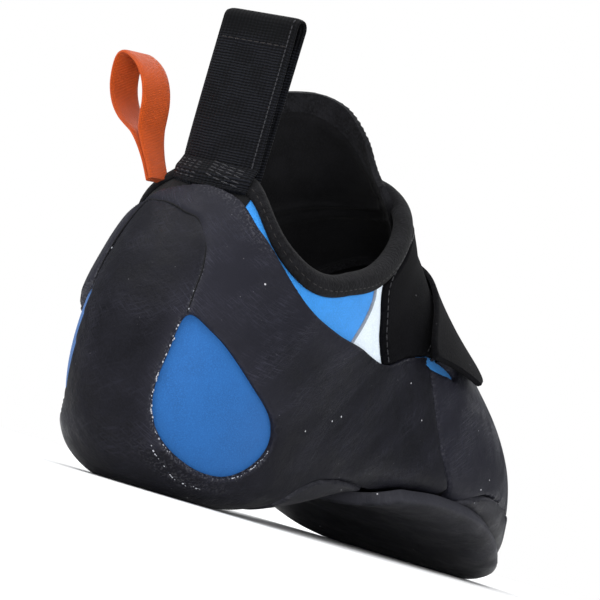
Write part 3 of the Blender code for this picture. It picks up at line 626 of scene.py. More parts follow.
def cut_grid(rows, turns, field):
    """The part of a grid where a field is positive, cut along its zero line.

    On every grid line whose ends differ in sign, the zero point is found by linear steps. A grid
    point that has one within NEAR of a cell moves onto it, and the other cells that the line
    crosses are cut there. Gives rows, turns, depths inside the border, and the faces."""
    row, turn = np.meshgrid(rows, turns, indexing="ij")
    value = field(row, turn)
    points = form(row, turn)
    pitch_i = np.linalg.norm(np.gradient(points, axis=0), axis=-1) + 1e-7
    pitch_j = np.linalg.norm(np.gradient(points, axis=1), axis=-1) + 1e-7
    slope_i, slope_j = np.gradient(value)
    slope = np.sqrt((slope_i / pitch_i) ** 2 + (slope_j / pitch_j) ** 2) + 1e-6
    number = np.arange(row.size).reshape(row.shape)
    level = value.ravel().copy()
    at = np.stack([row.ravel(), turn.ravel()], -1)
    starts = np.concatenate([number[:-1].ravel(), number[:, :-1].ravel()])
    ends = np.concatenate([number[1:].ravel(), number[:, 1:].ravel()])
    crossing = np.flatnonzero((level[starts] > 0) != (level[ends] > 0))
    starts, ends = starts[crossing], ends[crossing]
    share = zero_shares(field, at[starts], at[ends], level[starts], level[ends])
    met = at[starts] + (at[ends] - at[starts]) * share[:, None]

    corner = np.concatenate([starts, ends])
    near = np.concatenate([share, 1 - share])
    order = np.argsort(-near, kind="stable")
    order = order[near[order] < NEAR]
    moved = np.full(len(level), -1)
    moved[corner[order]] = order % len(starts)
    shift = moved >= 0
    at[shift] = met[moved[shift]]
    level[shift] = 0.0

    crossed = np.full((2, row.size), -1)
    kept = level[starts] * level[ends] < 0
    along = (ends - starts == 1).astype(int)
    crossed[along[kept], starts[kept]] = row.size + np.flatnonzero(kept)
    cells = grid_cells(number)
    cells = cells[(level[cells] > 0).any(1)]
    slots = np.full((len(cells), 8), -1)
    slots[:, 0::2] = np.where(level[cells] >= 0, cells, -1)
    slots[:, 1] = crossed[1, cells[:, 0]]
    slots[:, 3] = crossed[0, cells[:, 1]]
    slots[:, 5] = crossed[1, cells[:, 3]]
    slots[:, 7] = crossed[0, cells[:, 0]]
    count = (slots >= 0).sum(1)
    faces = [slots[count == sides][slots[count == sides] >= 0].reshape(-1, sides)
             for sides in range(3, 9)]
    depth = np.where(level > 0, level / slope.ravel(), 0.0)
    at = np.vstack([at, met])
    depth = np.concatenate([depth, np.zeros(len(met))])
    return at[:, 0], at[:, 1], depth, [group for group in faces if len(group)]


def layer(name, rows, turns, field, inside, outside, material, node=None, slot=None,
          edge=0.0008, blunt=0.45, relief=None, layers=None, crease=42.0):
    """A closed layer between two distances from the form, where a field is positive.

    Near the border the outer face falls off as a quarter ellipse of width edge, down to the
    share blunt of the thickness. Where inside is a function, outside is the thickness."""
    row, turn, depth, faces = cut_grid(rows, turns, field)
    used, renumbered = np.unique(np.concatenate([group.ravel() for group in faces]),
                                 return_inverse=True)
    row, turn, depth = row[used], turn[used], depth[used]
    splits = np.cumsum([group.size for group in faces])[:-1]
    faces = [part.reshape(group.shape)
             for part, group in zip(np.split(renumbered.ravel(), splits), faces)]
    share = np.clip(depth / edge, 0.0, 1.0)
    bulge = blunt + (1 - blunt) * np.sqrt(1 - (1 - share) ** 2)
    inner = np.broadcast_to(np.asarray(inside(row, turn) if callable(inside) else inside, float),
                            row.shape)
    outer = inner + (outside - (0 if callable(inside) else inside)) * bulge
    if relief:
        outer = outer + relief(row, turn, depth)
    front = off_form(row, turn, outer)
    back = off_form(row, turn, inner)
    front_faces = merged(front, faces)
    both = np.vstack([front, back])
    walls = rim_faces(front_faces, len(row))
    back_faces = [group[:, ::-1] + len(row) for group in front_faces]
    stored = {"edge": np.tile(depth * 1000, 2), "map": np.tile(on_sheet(row, turn), (2, 1))}
    for key, made in (layers or {}).items():
        stored[key] = np.tile(made(row, turn, depth), 2)
    groups = merged(both, front_faces + back_faces + [walls])
    return add_piece(name, both, groups, material, node, slot, stored, crease)


def banded(name, path, across, outline, material, closed=True, **more):
    """A profile carried along a path: path points plus outline metres along two directions.

    across holds, for each path point, the two directions that the outline's columns count in."""
    first, second = across
    points = (path[:, None, :] + first[:, None, :] * outline[..., 0:1]
              + second[:, None, :] * outline[..., 1:2])
    count, sides = points.shape[:2]
    number = np.arange(count * sides).reshape(count, sides)
    after = np.roll(number, -1, axis=0) if closed else number[1:]
    here = number if closed else number[:-1]
    faces = [np.stack([here, after, np.roll(after, -1, axis=1), np.roll(here, -1, axis=1)],
                      -1).reshape(-1, 4)]
    points = points.reshape(-1, 3)
    if not closed:
        ends = np.array([number[0], number[-1][::-1]])
        faces.append(ends)
    return add_piece(name, points, faces, material, **more)


def sheet_solid(name, front, back, material, uv, layers=None, **more):
    """Closed solid between two grids of points, such as webbing."""
    rows, columns = front.shape[:2]
    number = np.arange(rows * columns).reshape(rows, columns)
    cells = grid_cells(number)
    lift = rows * columns
    faces = [cells, cells[:, ::-1] + lift, rim_faces([cells], lift)]
    points = np.vstack([front.reshape(-1, 3), back.reshape(-1, 3)])
    stored = {"map": np.tile(uv.reshape(-1, 2), (2, 1))}
    for key, values in (layers or {}).items():
        stored[key] = np.tile(values, 2)
    return add_piece(name, points, faces, material, layers=stored, **more)


def tube(name, path, radius, material, sides=8, **more):
    """A round thread: circles of one radius across a path, drawn in to a point at both ends."""
    along = np.gradient(path, axis=0)
    along /= np.linalg.norm(along, axis=1, keepdims=True)
    unlike_any_thread = np.array([0.31, 0.17, 0.93])
    first = np.cross(along, unlike_any_thread)
    first /= np.linalg.norm(first, axis=1, keepdims=True)
    second = np.cross(along, first)
    share = np.linspace(-1, 1, len(path))
    taper = np.sqrt(np.clip(1 - share ** 16, 0.02, 1.0))
    angle = np.linspace(0, 2 * math.pi, sides, endpoint=False)
    circle = np.stack([np.cos(angle), np.sin(angle)], -1)
    outline = circle[None] * (radius * taper)[:, None, None]
    return banded(name, path, (first, second), outline, material, closed=False, **more)


def stitches(name, centres, along, outward, length, radius, material, scale=1.0, **more):
    """Sewn stitches: each a bead of six-sided rings, sin wide along its length, set half in."""
    sides = 6
    rings = np.linspace(0, math.pi, sides)
    angle = np.linspace(0, 2 * math.pi, sides, endpoint=False)
    side = np.cross(along, outward)
    wide = np.maximum(np.sin(rings), 0.12) ** 0.6 * radius
    local = np.stack([
        np.broadcast_to(-np.cos(rings)[:, None] * length / 2, (sides, sides)),
        np.cos(angle)[None] * wide[:, None],
        np.sin(angle)[None] * wide[:, None],
    ], -1)
    axes = np.stack([along, side, outward], 1)
    shaped = np.einsum("rsa,nab->nrsb", local, axes) * np.reshape(scale, (-1, 1, 1, 1))
    points = centres[:, None, None, :] + shaped
    number = np.arange(sides ** 2).reshape(sides, sides)
    ring = np.roll(number, -1, axis=1)
    quads = np.stack([number[:-1], ring[:-1], ring[1:], number[1:]], -1).reshape(-1, 4)
    caps = np.array([number[0][::-1], number[-1]])
    offsets = (np.arange(len(centres)) * sides ** 2)[:, None, None]
    faces = [(quads[None] + offsets).reshape(-1, 4), (caps[None] + offsets).reshape(-1, sides)]
    return add_piece(name, points.reshape(-1, 3), faces, material, crease=0, **more)


def along_form(rows, turns, distance, pitch):
    """Evenly spaced places on a line over the form: centres, directions and outward normals."""
    line = off_form(rows, turns, np.full(len(rows), distance))
    travelled = np.concatenate([[0], np.cumsum(np.linalg.norm(np.diff(line, axis=0), axis=1))])
    count = max(int(travelled[-1] / pitch), 1)
    at = (np.arange(count) + 0.5) * travelled[-1] / count
    centres = np.stack([np.interp(at, travelled, line[:, k]) for k in range(3)], -1)
    heads = np.stack([np.interp(at + pitch / 10, travelled, line[:, k]) for k in range(3)], -1)
    along = heads - centres
    along /= np.linalg.norm(along, axis=1, keepdims=True) + 1e-12
    normals = form_normals(np.interp(at, travelled, rows), np.interp(at, travelled, turns))
    normals -= along * (normals * along).sum(1, keepdims=True)
    normals /= np.linalg.norm(normals, axis=1, keepdims=True)
    return centres, along, normals


# Materials
def place(tree, kind, inputs=None, **settings):
    """One shader node, with its settings and with values or links on its inputs."""
    made = tree.nodes.new(kind)
    for key, value in settings.items():
        setattr(made, key, value)
    for key, value in (inputs or {}).items():
        if isinstance(value, bpy.types.NodeSocket):
            tree.links.new(value, made.inputs[key])
        else:
            made.inputs[key].default_value = value
    return made


def maths(tree, operation, first, second=0.0, clamp=False):
    """The result of one Math node."""
    return place(tree, "ShaderNodeMath", {0: first, 1: second}, operation=operation,
                 use_clamp=clamp).outputs[0]


def ramp(tree, value, low, high, low_to=0.0, high_to=1.0):
    """A value moved smoothly from one range to another."""
    return place(tree, "ShaderNodeMapRange", {
        "Value": value, "From Min": low, "From Max": high, "To Min": low_to, "To Max": high_to,
    }, interpolation_type="SMOOTHSTEP").outputs[0]


def mixed(tree, share, first, second, blend="MIX"):
    """Two colours mixed by a share."""
    made = place(tree, "ShaderNodeMix", data_type="RGBA", blend_type=blend)
    made.clamp_result = True
    for socket, value in ((made.inputs[0], share), (made.inputs[6], first),
                          (made.inputs[7], second)):
        if isinstance(value, bpy.types.NodeSocket):
            tree.links.new(value, socket)
        else:
            socket.default_value = value
    return made.outputs[2]


def effect(name, inputs, outputs):
    """An empty shader node group with named inputs and outputs, made once."""
    found = bpy.data.node_groups.get(name)
    if found:
        return found, None, None
    tree = bpy.data.node_groups.new(name, "ShaderNodeTree")
    for label, kind, default in inputs:
        socket = tree.interface.new_socket(label, in_out="INPUT", socket_type=kind)
        if default is not None:
            socket.default_value = default
    for label, kind in outputs:
        tree.interface.new_socket(label, in_out="OUTPUT", socket_type=kind)
    return tree, tree.nodes.new("NodeGroupInput").outputs, tree.nodes.new("NodeGroupOutput")


FLOAT = "NodeSocketFloat"
VECTOR = "NodeSocketVector"


def grain_effect():
    """Fine grain: two octaves of noise, as a height and as slow blotches."""
    tree, given, result = effect("Fine grain", [
        ("Vector", VECTOR, None), ("Size", FLOAT, 0.0006), ("Blotch", FLOAT, 0.012),
    ], [("Height", FLOAT), ("Blotches", FLOAT)])
    if result:
        fine = place(tree, "ShaderNodeTexNoise", {
            "Vector": given["Vector"], "Scale": maths(tree, "DIVIDE", 1.0, given["Size"]),
            "Detail": 3.0, "Roughness": 0.6})
        slow = place(tree, "ShaderNodeTexNoise", {
            "Vector": given["Vector"], "Scale": maths(tree, "DIVIDE", 1.0, given["Blotch"]),
            "Detail": 4.0, "Roughness": 0.55})
        tree.links.new(fine.outputs["Fac"], result.inputs["Height"])
        tree.links.new(ramp(tree, slow.outputs["Fac"], 0.35, 0.65), result.inputs["Blotches"])
    return tree


def dust_effect():
    """Dust: small balls at the centres of cells in space, only in a share of the cells."""
    tree, given, result = effect("Dust specks", [
        ("Vector", VECTOR, None), ("Spacing", FLOAT, 0.004), ("Size", FLOAT, 0.07),
        ("Amount", FLOAT, 0.35),
    ], [("Mask", FLOAT)])
    if result:
        cells = place(tree, "ShaderNodeTexVoronoi", {
            "Vector": given["Vector"], "Scale": maths(tree, "DIVIDE", 1.0, given["Spacing"]),
            "Randomness": 1.0})
        own = place(tree, "ShaderNodeSeparateColor", {"Color": cells.outputs["Color"]})
        size = maths(tree, "MULTIPLY", given["Size"], own.outputs["Green"])
        speck = maths(tree, "LESS_THAN", cells.outputs["Distance"], size)
        chosen = maths(tree, "LESS_THAN", own.outputs["Red"], given["Amount"])
        tree.links.new(maths(tree, "MULTIPLY", speck, chosen), result.inputs["Mask"])
    return tree


def scuff_and_sheen_effect():
    """Brushed marks: noise drawn out along one direction of the flat map, in patches; scuff marks and
    painted sheen where the rubber paints them paler.
    """
    tree, given, result = effect("Brushed scuffs", [
        ("Map", VECTOR, None), ("Width", FLOAT, 0.0005), ("Length", FLOAT, 0.012),
        ("Tilt", FLOAT, 0.3),
    ], [("Mask", FLOAT), ("Patches", FLOAT)])
    if result:
        turned = place(tree, "ShaderNodeVectorRotate", {
            "Vector": given["Map"], "Angle": given["Tilt"]}, rotation_type="Z_AXIS")
        scale = place(tree, "ShaderNodeCombineXYZ", {
            "X": maths(tree, "DIVIDE", 1.0, given["Length"]),
            "Y": maths(tree, "DIVIDE", 1.0, given["Width"]), "Z": 1.0})
        drawn = place(tree, "ShaderNodeVectorMath", {
            0: turned.outputs[0], 1: scale.outputs[0]}, operation="MULTIPLY")
        lines = place(tree, "ShaderNodeTexNoise", {
            "Vector": drawn.outputs[0], "Scale": 1.0, "Detail": 3.0, "Roughness": 0.7})
        patches = place(tree, "ShaderNodeTexNoise", {
            "Vector": given["Map"], "Scale": 75.0, "Detail": 2.0})
        strength = ramp(tree, patches.outputs["Fac"], 0.40, 0.64)
        tree.links.new(maths(tree, "MULTIPLY", ramp(tree, lines.outputs["Fac"], 0.46, 0.72),
                             strength), result.inputs["Mask"])
        tree.links.new(strength, result.inputs["Patches"])
    return tree


def weave_effect():
    """Plain weave on a flat map: two crossed sine waves that take turns on top."""
    tree, given, result = effect("Plain weave", [
        ("Map", VECTOR, None), ("Thread", FLOAT, 0.0005),
    ], [("Height", FLOAT), ("Threads", FLOAT)])
    if result:
        parts = place(tree, "ShaderNodeSeparateXYZ", {"Vector": given["Map"]})
        turn = maths(tree, "DIVIDE", math.pi, given["Thread"])
        along = maths(tree, "SINE", maths(tree, "MULTIPLY", parts.outputs["X"], turn))
        across = maths(tree, "SINE", maths(tree, "MULTIPLY", parts.outputs["Y"], turn))
        product = maths(tree, "MULTIPLY", along, across)
        tree.links.new(maths(tree, "ABSOLUTE", product), result.inputs["Height"])
        tree.links.new(ramp(tree, product, -0.6, 0.6), result.inputs["Threads"])
    return tree


def group_node(tree, group, **inputs):
    """A node group placed in a material with its own values."""
    made = tree.nodes.new("ShaderNodeGroup")
    made.node_tree = group
    for key, value in inputs.items():
        if isinstance(value, bpy.types.NodeSocket):
            tree.links.new(value, made.inputs[key])
        else:
            made.inputs[key].default_value = value
    return made.outputs


def start_material(name):
    """A new node material: its tree, shader, object coordinates and flat map."""
    made = bpy.data.materials.new(name)
    made.use_nodes = True
    tree = made.node_tree
    shader = tree.nodes["Principled BSDF"]
    shader.inputs["Metallic"].default_value = 0.0
    where = place(tree, "ShaderNodeTexCoord")
    return made, tree, shader, where.outputs["Object"], where.outputs["UV"]


def attribute(tree, name):
    """A piece's own stored value."""
    return place(tree, "ShaderNodeAttribute", attribute_name=name,
                 attribute_type="GEOMETRY").outputs["Fac"]


def finish_relief(tree, shader, height, distance, strength=1.0):
    """Bump from a height."""
    bump = place(tree, "ShaderNodeBump", {"Height": height, "Strength": strength,
                                          "Distance": distance})
    tree.links.new(bump.outputs[0], shader.inputs["Normal"])


def colour(value):
    """A colour for a socket, fully opaque."""
    return (*value, 1.0)


def lighter(value, factor):
    """A colour times a factor, with no part above 1."""
    return (*(min(part * factor, 1.0) for part in value), 1.0)


def rubber_material(values, name, base, tilt=-0.78):
    """Smooth charcoal rubber: blotches, paler brushed streaks that are scuff marks and painted sheen,
    dust, pale ground edges, glue specks.
    """
    made, tree, shader, where, flat = start_material(name)
    grain = group_node(tree, grain_effect(), Vector=where, Size=0.00050, Blotch=0.009)
    scuffs_and_sheen = group_node(tree, scuff_and_sheen_effect(), Map=flat, Width=0.00036, Length=0.0045, Tilt=tilt)
    strokes = group_node(tree, scuff_and_sheen_effect(), Map=flat, Width=0.00060, Length=0.0045,
                         Tilt=tilt - 1.6)
    dust = group_node(tree, dust_effect(), Vector=where, Spacing=0.0042, Size=0.090,
                      Amount=values.dust_amount)
    powder = group_node(tree, dust_effect(), Vector=where, Spacing=0.0016, Size=0.090,
                        Amount=values.dust_amount)
    worn = attribute(tree, "worn")
    edge = ramp(tree, attribute(tree, "edge"), 0.0, 0.9, 1.0, 0.0)
    specks = group_node(tree, grain_effect(), Vector=where, Size=0.0006, Blotch=0.0016)
    crumbs = maths(tree, "MULTIPLY", attribute(tree, "glue"),
                   ramp(tree, specks["Height"], 0.50, 0.64))
    marks = maths(tree, "MAXIMUM", maths(tree, "MULTIPLY", scuffs_and_sheen["Mask"],
                                         ramp(tree, worn, 0.0, 1.0, 0.35, 1.0)),
                  maths(tree, "MULTIPLY", strokes["Mask"], 0.4))
    tone = mixed(tree, grain["Blotches"], lighter(base, 0.85), lighter(base, 1.35))
    tone = mixed(tree, worn, tone, lighter(base, 2.6))
    tone = mixed(tree, ramp(tree, grain["Height"], 0.35, 0.75, 0.0, 0.35), tone,
                 lighter(base, 3.0))
    # Paler streaks: scuff marks and painted sheen of brushed rubber
    tone = mixed(tree, maths(tree, "MULTIPLY", marks, values.scuff_and_sheen_amount), tone,
                 lighter(base, 8.0))
    tone = mixed(tree, maths(tree, "MULTIPLY", edge, 0.45), tone, lighter(base, 4.5))
    tone = mixed(tree, maths(tree, "MULTIPLY", crumbs, 0.62), tone, (0.34, 0.34, 0.37, 1.0))
    tone = mixed(tree, maths(tree, "MULTIPLY", powder["Mask"], 0.35), tone,
                 (0.30, 0.30, 0.32, 1.0))
    tone = mixed(tree, dust["Mask"], tone, (0.55, 0.55, 0.58, 1.0))
    tree.links.new(tone, shader.inputs["Base Color"])
    rough = ramp(tree, grain["Blotches"], 0.0, 1.0, 0.46, 0.58)
    rough = maths(tree, "SUBTRACT", rough, maths(tree, "MULTIPLY", scuffs_and_sheen["Patches"], 0.08))
    rough = maths(tree, "ADD", rough, maths(tree, "MULTIPLY", crumbs, 0.2), clamp=True)
    tree.links.new(rough, shader.inputs["Roughness"])
    shader.inputs["Specular IOR Level"].default_value = 0.08
    height = maths(tree, "ADD", maths(tree, "MULTIPLY", grain["Height"], 0.30),
                   maths(tree, "MULTIPLY", marks, 0.30))
    height = maths(tree, "ADD", height, maths(tree, "MULTIPLY", crumbs, 0.6))
    height = maths(tree, "ADD", height, maths(tree, "MULTIPLY", grain["Blotches"], 0.5))
    finish_relief(tree, shader, height, 0.00030)
    return made


def cloth_material(name, base, nap=0.00035, depth=0.00006, pale=1.35, rough=0.82, sheen=0.10,
                   lint=0.0, gloss=0.12):
    """Matte microfibre: short noisy nap with slow shading, and lint where asked."""
    made, tree, shader, where, _ = start_material(name)
    grain = group_node(tree, grain_effect(), Vector=where, Size=nap, Blotch=0.006)
    tone = mixed(tree, grain["Blotches"], colour(base), lighter(base, pale))
    tone = mixed(tree, ramp(tree, grain["Height"], 0.40, 0.75), tone, lighter(base, pale * 1.25))
    if lint:
        dust = group_node(tree, dust_effect(), Vector=where, Spacing=0.0017, Size=0.11,
                          Amount=lint)
        tone = mixed(tree, dust["Mask"], tone, (0.38, 0.38, 0.40, 1.0))
    tree.links.new(tone, shader.inputs["Base Color"])
    shader.inputs["Roughness"].default_value = rough
    shader.inputs["Sheen Weight"].default_value = sheen
    shader.inputs["Sheen Roughness"].default_value = 0.5
    shader.inputs["Specular IOR Level"].default_value = gloss
    finish_relief(tree, shader, grain["Height"], depth)
    return made


def ribbed_material(name, base, rib, across):
    """Webbing: rounded ribs across the band, fine threads along it, plain near its fold."""
    made, tree, shader, where, flat = start_material(name)
    parts = place(tree, "ShaderNodeSeparateXYZ", {"Vector": flat})
    wobble = group_node(tree, grain_effect(), Vector=where, Size=0.0030, Blotch=0.007)
    along = maths(tree, "ADD", parts.outputs["X"], maths(tree, "MULTIPLY", wobble["Height"],
                                                        rib * 0.8))
    ribs = maths(tree, "SINE", maths(tree, "MULTIPLY", along, 2 * math.pi / rib))
    threads = maths(tree, "SINE", maths(tree, "MULTIPLY", parts.outputs["Y"],
                                        2 * math.pi / across))
    shown = ramp(tree, attribute(tree, "plain"), 0.0, 1.0, 1.0, 0.15)
    shown = maths(tree, "MULTIPLY", shown, ramp(tree, wobble["Blotches"], 0.0, 1.0, 0.45, 1.0))
    height = maths(tree, "ADD", maths(tree, "MULTIPLY", ramp(tree, ribs, -1.0, 1.0), shown),
                   maths(tree, "MULTIPLY", ramp(tree, threads, -1.0, 1.0), 0.30))
    tone = mixed(tree, ramp(tree, height, 0.1, 1.1), lighter(base, 0.55), lighter(base, 4.8))
    tree.links.new(tone, shader.inputs["Base Color"])
    shader.inputs["Roughness"].default_value = 0.62
    shader.inputs["Sheen Weight"].default_value = 0.015
    shader.inputs["Specular IOR Level"].default_value = 0.07
    finish_relief(tree, shader, height, 0.00035)
    return made


def woven_material(name, base, thread, gloss=0.55):
    """Fine ribbon or thread: plain weave on the flat map with a soft shine."""
    made, tree, shader, where, flat = start_material(name)
    weave = group_node(tree, weave_effect(), Map=flat, Thread=thread)
    grain = group_node(tree, grain_effect(), Vector=where, Size=0.0006, Blotch=0.004)
    tone = mixed(tree, weave["Height"], lighter(base, 0.60), lighter(base, 1.20))
    tone = mixed(tree, maths(tree, "MULTIPLY", grain["Blotches"], 0.18), tone, lighter(base, 1.3))
    tree.links.new(tone, shader.inputs["Base Color"])
    shader.inputs["Roughness"].default_value = gloss
    shader.inputs["Sheen Weight"].default_value = 0.05
    shader.inputs["Specular IOR Level"].default_value = 0.15
    finish_relief(tree, shader, weave["Height"], 0.00018)
    return made


def finish(kind):
    """The named finish, made once with the values of the panel."""
    name = f"{kind}_finish"
    found = bpy.data.materials.get(name)
    if found:
        return found
    values = look()
    makers = {
        "rand_rubber": lambda: rubber_material(values, name, values.rubber),
        # Paler copy of the rand rubber: painted light for the down-facing pieces
        "sole_rubber": lambda: rubber_material(values, name, values.sole_rubber, tilt=1.3),
        "window_cloth": lambda: cloth_material(name, values.window_blue, pale=1.10, depth=0.00003,
                                               rough=0.6),
        "panel_cloth": lambda: cloth_material(name, values.panel_blue, pale=1.12, depth=0.00004),
        "white_cloth": lambda: cloth_material(name, values.panel_white, pale=1.05, depth=0.00004),
        "lining_cloth": lambda: cloth_material(name, values.lining, nap=0.0006, depth=0.00015,
                                               pale=1.6, sheen=0.03),
        "binding_cloth": lambda: cloth_material(name, values.lining, nap=0.0009, depth=0.00035,
                                                pale=2.1, rough=0.9, sheen=0.025, gloss=0.08),
        "hem_cloth": lambda: cloth_material(name, values.lining, nap=0.0009, depth=0.00035,
                                            pale=3.4, rough=0.9, sheen=0.03, gloss=0.12),
        "strap_cloth": lambda: cloth_material(name, values.strap, nap=0.0006, depth=0.00015,
                                              pale=1.6, sheen=0.006, lint=0.10,
                                              gloss=0.03),
        "tab_cloth": lambda: cloth_material(name, values.strap, nap=0.0009, depth=0.00040,
                                            pale=1.8, rough=0.9, sheen=0.01, lint=0.30,
                                            gloss=0.05),
        "piping_cord": lambda: cloth_material(name, values.piping, pale=1.2),
        "dried_glue": lambda: cloth_material(name, values.glue, pale=1.2),
        "stitch_thread": lambda: cloth_material(name, values.thread, nap=0.0002, rough=0.6),
        "bar_thread": lambda: cloth_material(name, values.bar_thread, nap=0.0002, rough=0.5),
        "loop_webbing": lambda: ribbed_material(name, values.webbing, values.rib_pitch, 0.0011),
        "loop_ribbon": lambda: woven_material(name, values.ribbon, 0.00045),
        "insole_board": lambda: cloth_material(name, values.board, nap=0.0008, pale=1.2),
    }
    return makers[kind]()


# Settings
def tint(name, default, text):
    """A colour that the user can set, with its starting value and what it is for."""
    return FloatVectorProperty(name=name, description=text, subtype="COLOR", size=3, min=0.0,
                               max=1.0, default=default)


class ShoeLook(bpy.types.PropertyGroup):
    """Colours and small sizes of the shoe's surfaces."""
    rubber: tint("Rand rubber", (0.0048, 0.0048, 0.0070), "Base colour of the rands")
    # Paler than the rand rubber: painted light on the sole rand and outsole, which face down and get
    # less lamp light
    sole_rubber: tint("Sole rubber, painted light", (0.0105, 0.0105, 0.0130),
                      "Base colour of outsole and sole rand")
    glue: tint("Dried glue", (0.34, 0.35, 0.38), "Beads of glue beside window and seam")
    window_blue: tint("Window blue", (0.0135, 0.088, 0.272), "Upper cloth in the heel windows")
    panel_blue: tint("Panel blue", (0.030, 0.215, 0.580), "Cloth between collar and rubber")
    panel_white: tint("Panel white", (0.650, 0.725, 0.810), "Cloth between piping and strap")
    lining: tint("Lining", (0.0034, 0.0034, 0.0040), "Collar binding, tongue and inside")
    strap: tint("Strap", (0.0014, 0.0014, 0.0019), "Instep strap and its tab")
    piping: tint("Piping", (0.180, 0.200, 0.230), "Cord between the blue and the white cloth")
    thread: tint("Thread", (0.0150, 0.0130, 0.0125), "Sewing thread")
    bar_thread: tint("Strong thread", (0.0230, 0.0230, 0.0260), "Thread of webbing and strap")
    webbing: tint("Webbing", (0.0015, 0.0017, 0.0025), "Webbing of the pull loop")
    ribbon: tint("Ribbon", (0.560, 0.078, 0.006), "Ribbon of the side loop")
    board: tint("Insole", (0.090, 0.086, 0.080), "Insole board")
    floor: tint("Floor", (0.93, 0.93, 0.93), "Studio floor")
    dust_amount: FloatProperty(name="Dust", description="Share of places that hold a dust speck",
                               default=0.28, min=0.0, max=1.0, subtype="FACTOR")
    # Paler brushed streaks on the rubber: scuff marks and painted sheen
    scuff_and_sheen_amount: FloatProperty(name="Scuffs and sheen", description="Strength of the brushed scuffs",
                                default=0.80, min=0.0, max=1.0, subtype="FACTOR")
    rib_pitch: FloatProperty(name="Rib pitch", description="Distance between webbing ribs",
                             default=0.00078, min=0.0002, subtype="DISTANCE", unit="LENGTH")
    stitch_length: FloatProperty(name="Stitch length", description="Length of one sewn stitch",
                                 default=0.0017, min=0.0005, subtype="DISTANCE", unit="LENGTH")
    stitch_radius: FloatProperty(name="Stitch radius", description="Half thickness of the thread",
                                 default=0.00017, min=0.00005, subtype="DISTANCE", unit="LENGTH")
    detail: FloatProperty(name="Detail", description="Grid points for each millimetre of surface",
                          default=1.1, min=0.3, max=2.0)


def look():
    """The colours and sizes that the user has set."""
    return bpy.context.scene.shoe_look


# Grid points in one row, one turn and the toe cap, at one point for each millimetre
ROW_POINTS = 20.5
TURN_POINTS = 235
CAP_POINTS = 26


def row_steps(first, last, share=1.0):
    """Row numbers from one row to another, finer where the toe cap closes."""
    dense = ROW_POINTS * look().detail * share
    body_end = min(last, LAST_ROW)
    body = np.linspace(first, body_end, int((body_end - first) * dense) + 2)
    if last <= LAST_ROW:
        return body
    cap = LAST_ROW + cap_shares(int(CAP_POINTS * look().detail * share) + 4)
    return np.concatenate([body, cap])


def turn_steps(first, last, share=1.0):
    """Turns from one to another."""
    count = int((last - first) * TURN_POINTS * look().detail * share) + 2
    return np.linspace(first, last, count)


# Pieces
class SHOE_OT_upper(bpy.types.Operator):
    """Upper: one hollow sock from the rim to the toe, with the blue cloth in its two heel windows"""
    bl_idname = "shoe.upper"
    bl_label = "Upper"

    def execute(self, context):
        rows, turns = row_steps(0.7, LAST_ROW + 1, 0.62), turn_steps(-0.5, 0.5, 0.62)
        layer("upper_sock", rows, turns, lambda row, turn: below_rim(row, turn, 0.0),
              -UPPER_WALL, 0.0, finish("lining_cloth"), "upper", "upper_cloth",
              edge=0.0004, blunt=0.8)
        layer("heel_window_outer", row_steps(3.3, 6.6), turn_steps(0.0, 0.22),
              lambda row, turn: window_field(row, turn) + WINDOW_UNDERLAP, *PANEL_LEVELS,
              finish("window_cloth"), None, "upper_cloth", edge=0.0004, blunt=0.4)
        layer("heel_window_inner", row_steps(3.3, 6.6), turn_steps(-0.26, -0.03),
              lambda row, turn: window_field(row, turn, True) + WINDOW_UNDERLAP, *PANEL_LEVELS,
              finish("window_cloth"), None, "upper_cloth", edge=0.0004, blunt=0.4)
        return {"FINISHED"}


